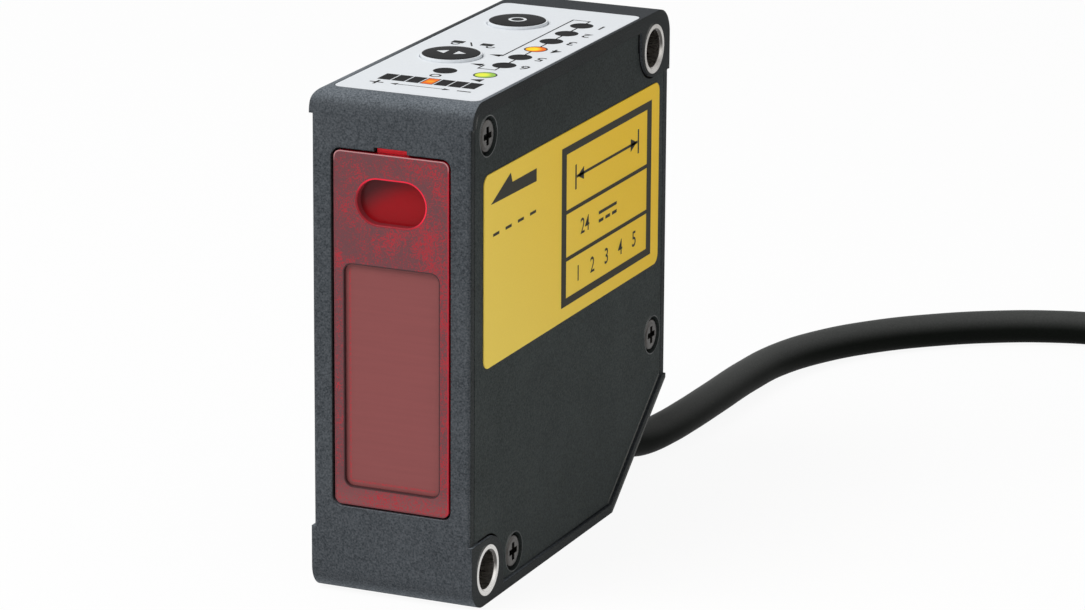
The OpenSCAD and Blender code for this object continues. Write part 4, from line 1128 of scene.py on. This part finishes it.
def add_thread():
    """The screw thread as one helical ridge on the end of the coupling, in a darker nickel as painted shade.
    """
    place = Matrix.Translation(mm(*PLUG_AT)) @ Matrix.Rotation(math.radians(PLUG_HEADING), 4, "Z")
    start, end = THREAD_SPAN
    turns = (end - start - THREAD_PITCH) / THREAD_PITCH
    shape = bmesh.new()
    rows = []
    for i in range(int(turns * THREAD_STEPS) + 1):
        angle = math.tau * i / THREAD_STEPS
        along = start + THREAD_PITCH * i / THREAD_STEPS
        row = [mm(r * math.cos(angle), along + THREAD_PITCH * y, r * math.sin(angle)) for r, y in RIDGE]
        rows.append([shape.verts.new(place @ point) for point in row])
    join_rings(shape, rows)
    for row in (rows[0], rows[-1]):
        shape.faces.new(row)
    mesh = mesh_of("coupling_thread", shape)
    finish_piece("coupling_thread", mesh, SHADED_THREAD_NICKEL, "coupling")


# Floor and light, in metres and watts

FLOOR_HALF = 3.0
FLOOR_Z = -0.02 * MM
FLOOR_GLOW = 0.92
AMBIENT = 0.35
LAMP_DISTANCE = 1.2
KEY_FROM = Vector((-0.37, -0.49, 0.79))
KEY_SIZE = 0.7
KEY_POWER = 11.5
FILL_FROM = Vector((0.9, -0.35, 0.3))
FILL_SIZE = 0.9
FILL_POWER = 1.2
RIM_FROM = Vector((0.75, 0.62, 0.18))
RIM_SIZE = 0.5
RIM_POWER = 0.7


def seen_directly(tree):
    """1 for what the camera sees, also by mirror or through glass, and 0 for light on surfaces."""
    ray = add_node(tree, "ShaderNodeLightPath").outputs
    mirrored = math_node(tree, "MAXIMUM", ray["Is Glossy Ray"], ray["Is Transmission Ray"])
    return math_node(tree, "MAXIMUM", ray["Is Camera Ray"], mirrored)


def add_floor():
    """A pale floor that keeps part of the object's shadow."""
    shape = bmesh.new()
    corners = rectangle(-FLOOR_HALF, -FLOOR_HALF, FLOOR_HALF, FLOOR_HALF)
    shape.faces.new([shape.verts.new((x, y, FLOOR_Z)) for x, y in corners])
    mesh = mesh_of("floor", shape)
    material = bpy.data.materials.new("floor")
    material.use_nodes = True
    tree = material.node_tree
    tree.nodes.clear()
    matte = add_node(tree, "ShaderNodeBsdfDiffuse", {"Color": (0.95, 0.95, 0.95, 1)}).outputs[0]
    white = add_node(tree, "ShaderNodeEmission", {"Color": (1, 1, 1, 1), "Strength": 1.0}).outputs[0]
    share = product(tree, seen_directly(tree), FLOOR_GLOW)
    mixed = add_node(tree, "ShaderNodeMixShader", {0: share, 1: matte, 2: white}).outputs[0]
    add_node(tree, "ShaderNodeOutputMaterial", {"Surface": mixed})
    mesh.materials.append(material)
    floor = bpy.data.objects.new("floor", mesh)
    bpy.context.scene.collection.objects.link(floor)


def add_world():
    """White where it is seen, and a lower even light on surfaces."""
    world = bpy.data.worlds.new("studio")
    world.use_nodes = True
    tree = world.node_tree
    level = spread_to(tree, seen_directly(tree), AMBIENT, 1.0)
    back = tree.nodes["Background"]
    back.inputs["Color"].default_value = (1, 1, 1, 1)
    tree.links.new(level, back.inputs["Strength"])
    bpy.context.scene.world = world


def add_lamp(name, direction, size, power):
    data = bpy.data.lights.new(name, "AREA")
    data.size = size
    data.energy = power
    lamp = bpy.data.objects.new(name, data)
    lamp.location = TARGET + direction.normalized() * LAMP_DISTANCE
    lamp.rotation_mode = "QUATERNION"
    lamp.rotation_quaternion = direction.to_track_quat("Z", "Y")
    bpy.context.scene.collection.objects.link(lamp)


bpy.context.scene.view_settings.view_transform = "Standard"
add_camera()
add_cable()
paint_nodes()
add_panel_print()
add_lamp_rings()
add_key_top("select_key_top", SELECT_KEY, "select_key")
add_key_top("set_key_top", SET_KEY, "set_key")
add_key_signs()
add_sticker_print()
soften_window_edges()
add_plate_edge()
add_oval_rim()
add_screw_rims()
add_pocket_rims()
add_pad_seam_shadows()
add_thread()
add_floor()
add_world()
add_lamp("key_light", KEY_FROM, KEY_SIZE, KEY_POWER)
add_lamp("fill_light", FILL_FROM, FILL_SIZE, FILL_POWER)
add_lamp("rim_light", RIM_FROM, RIM_SIZE, RIM_POWER)
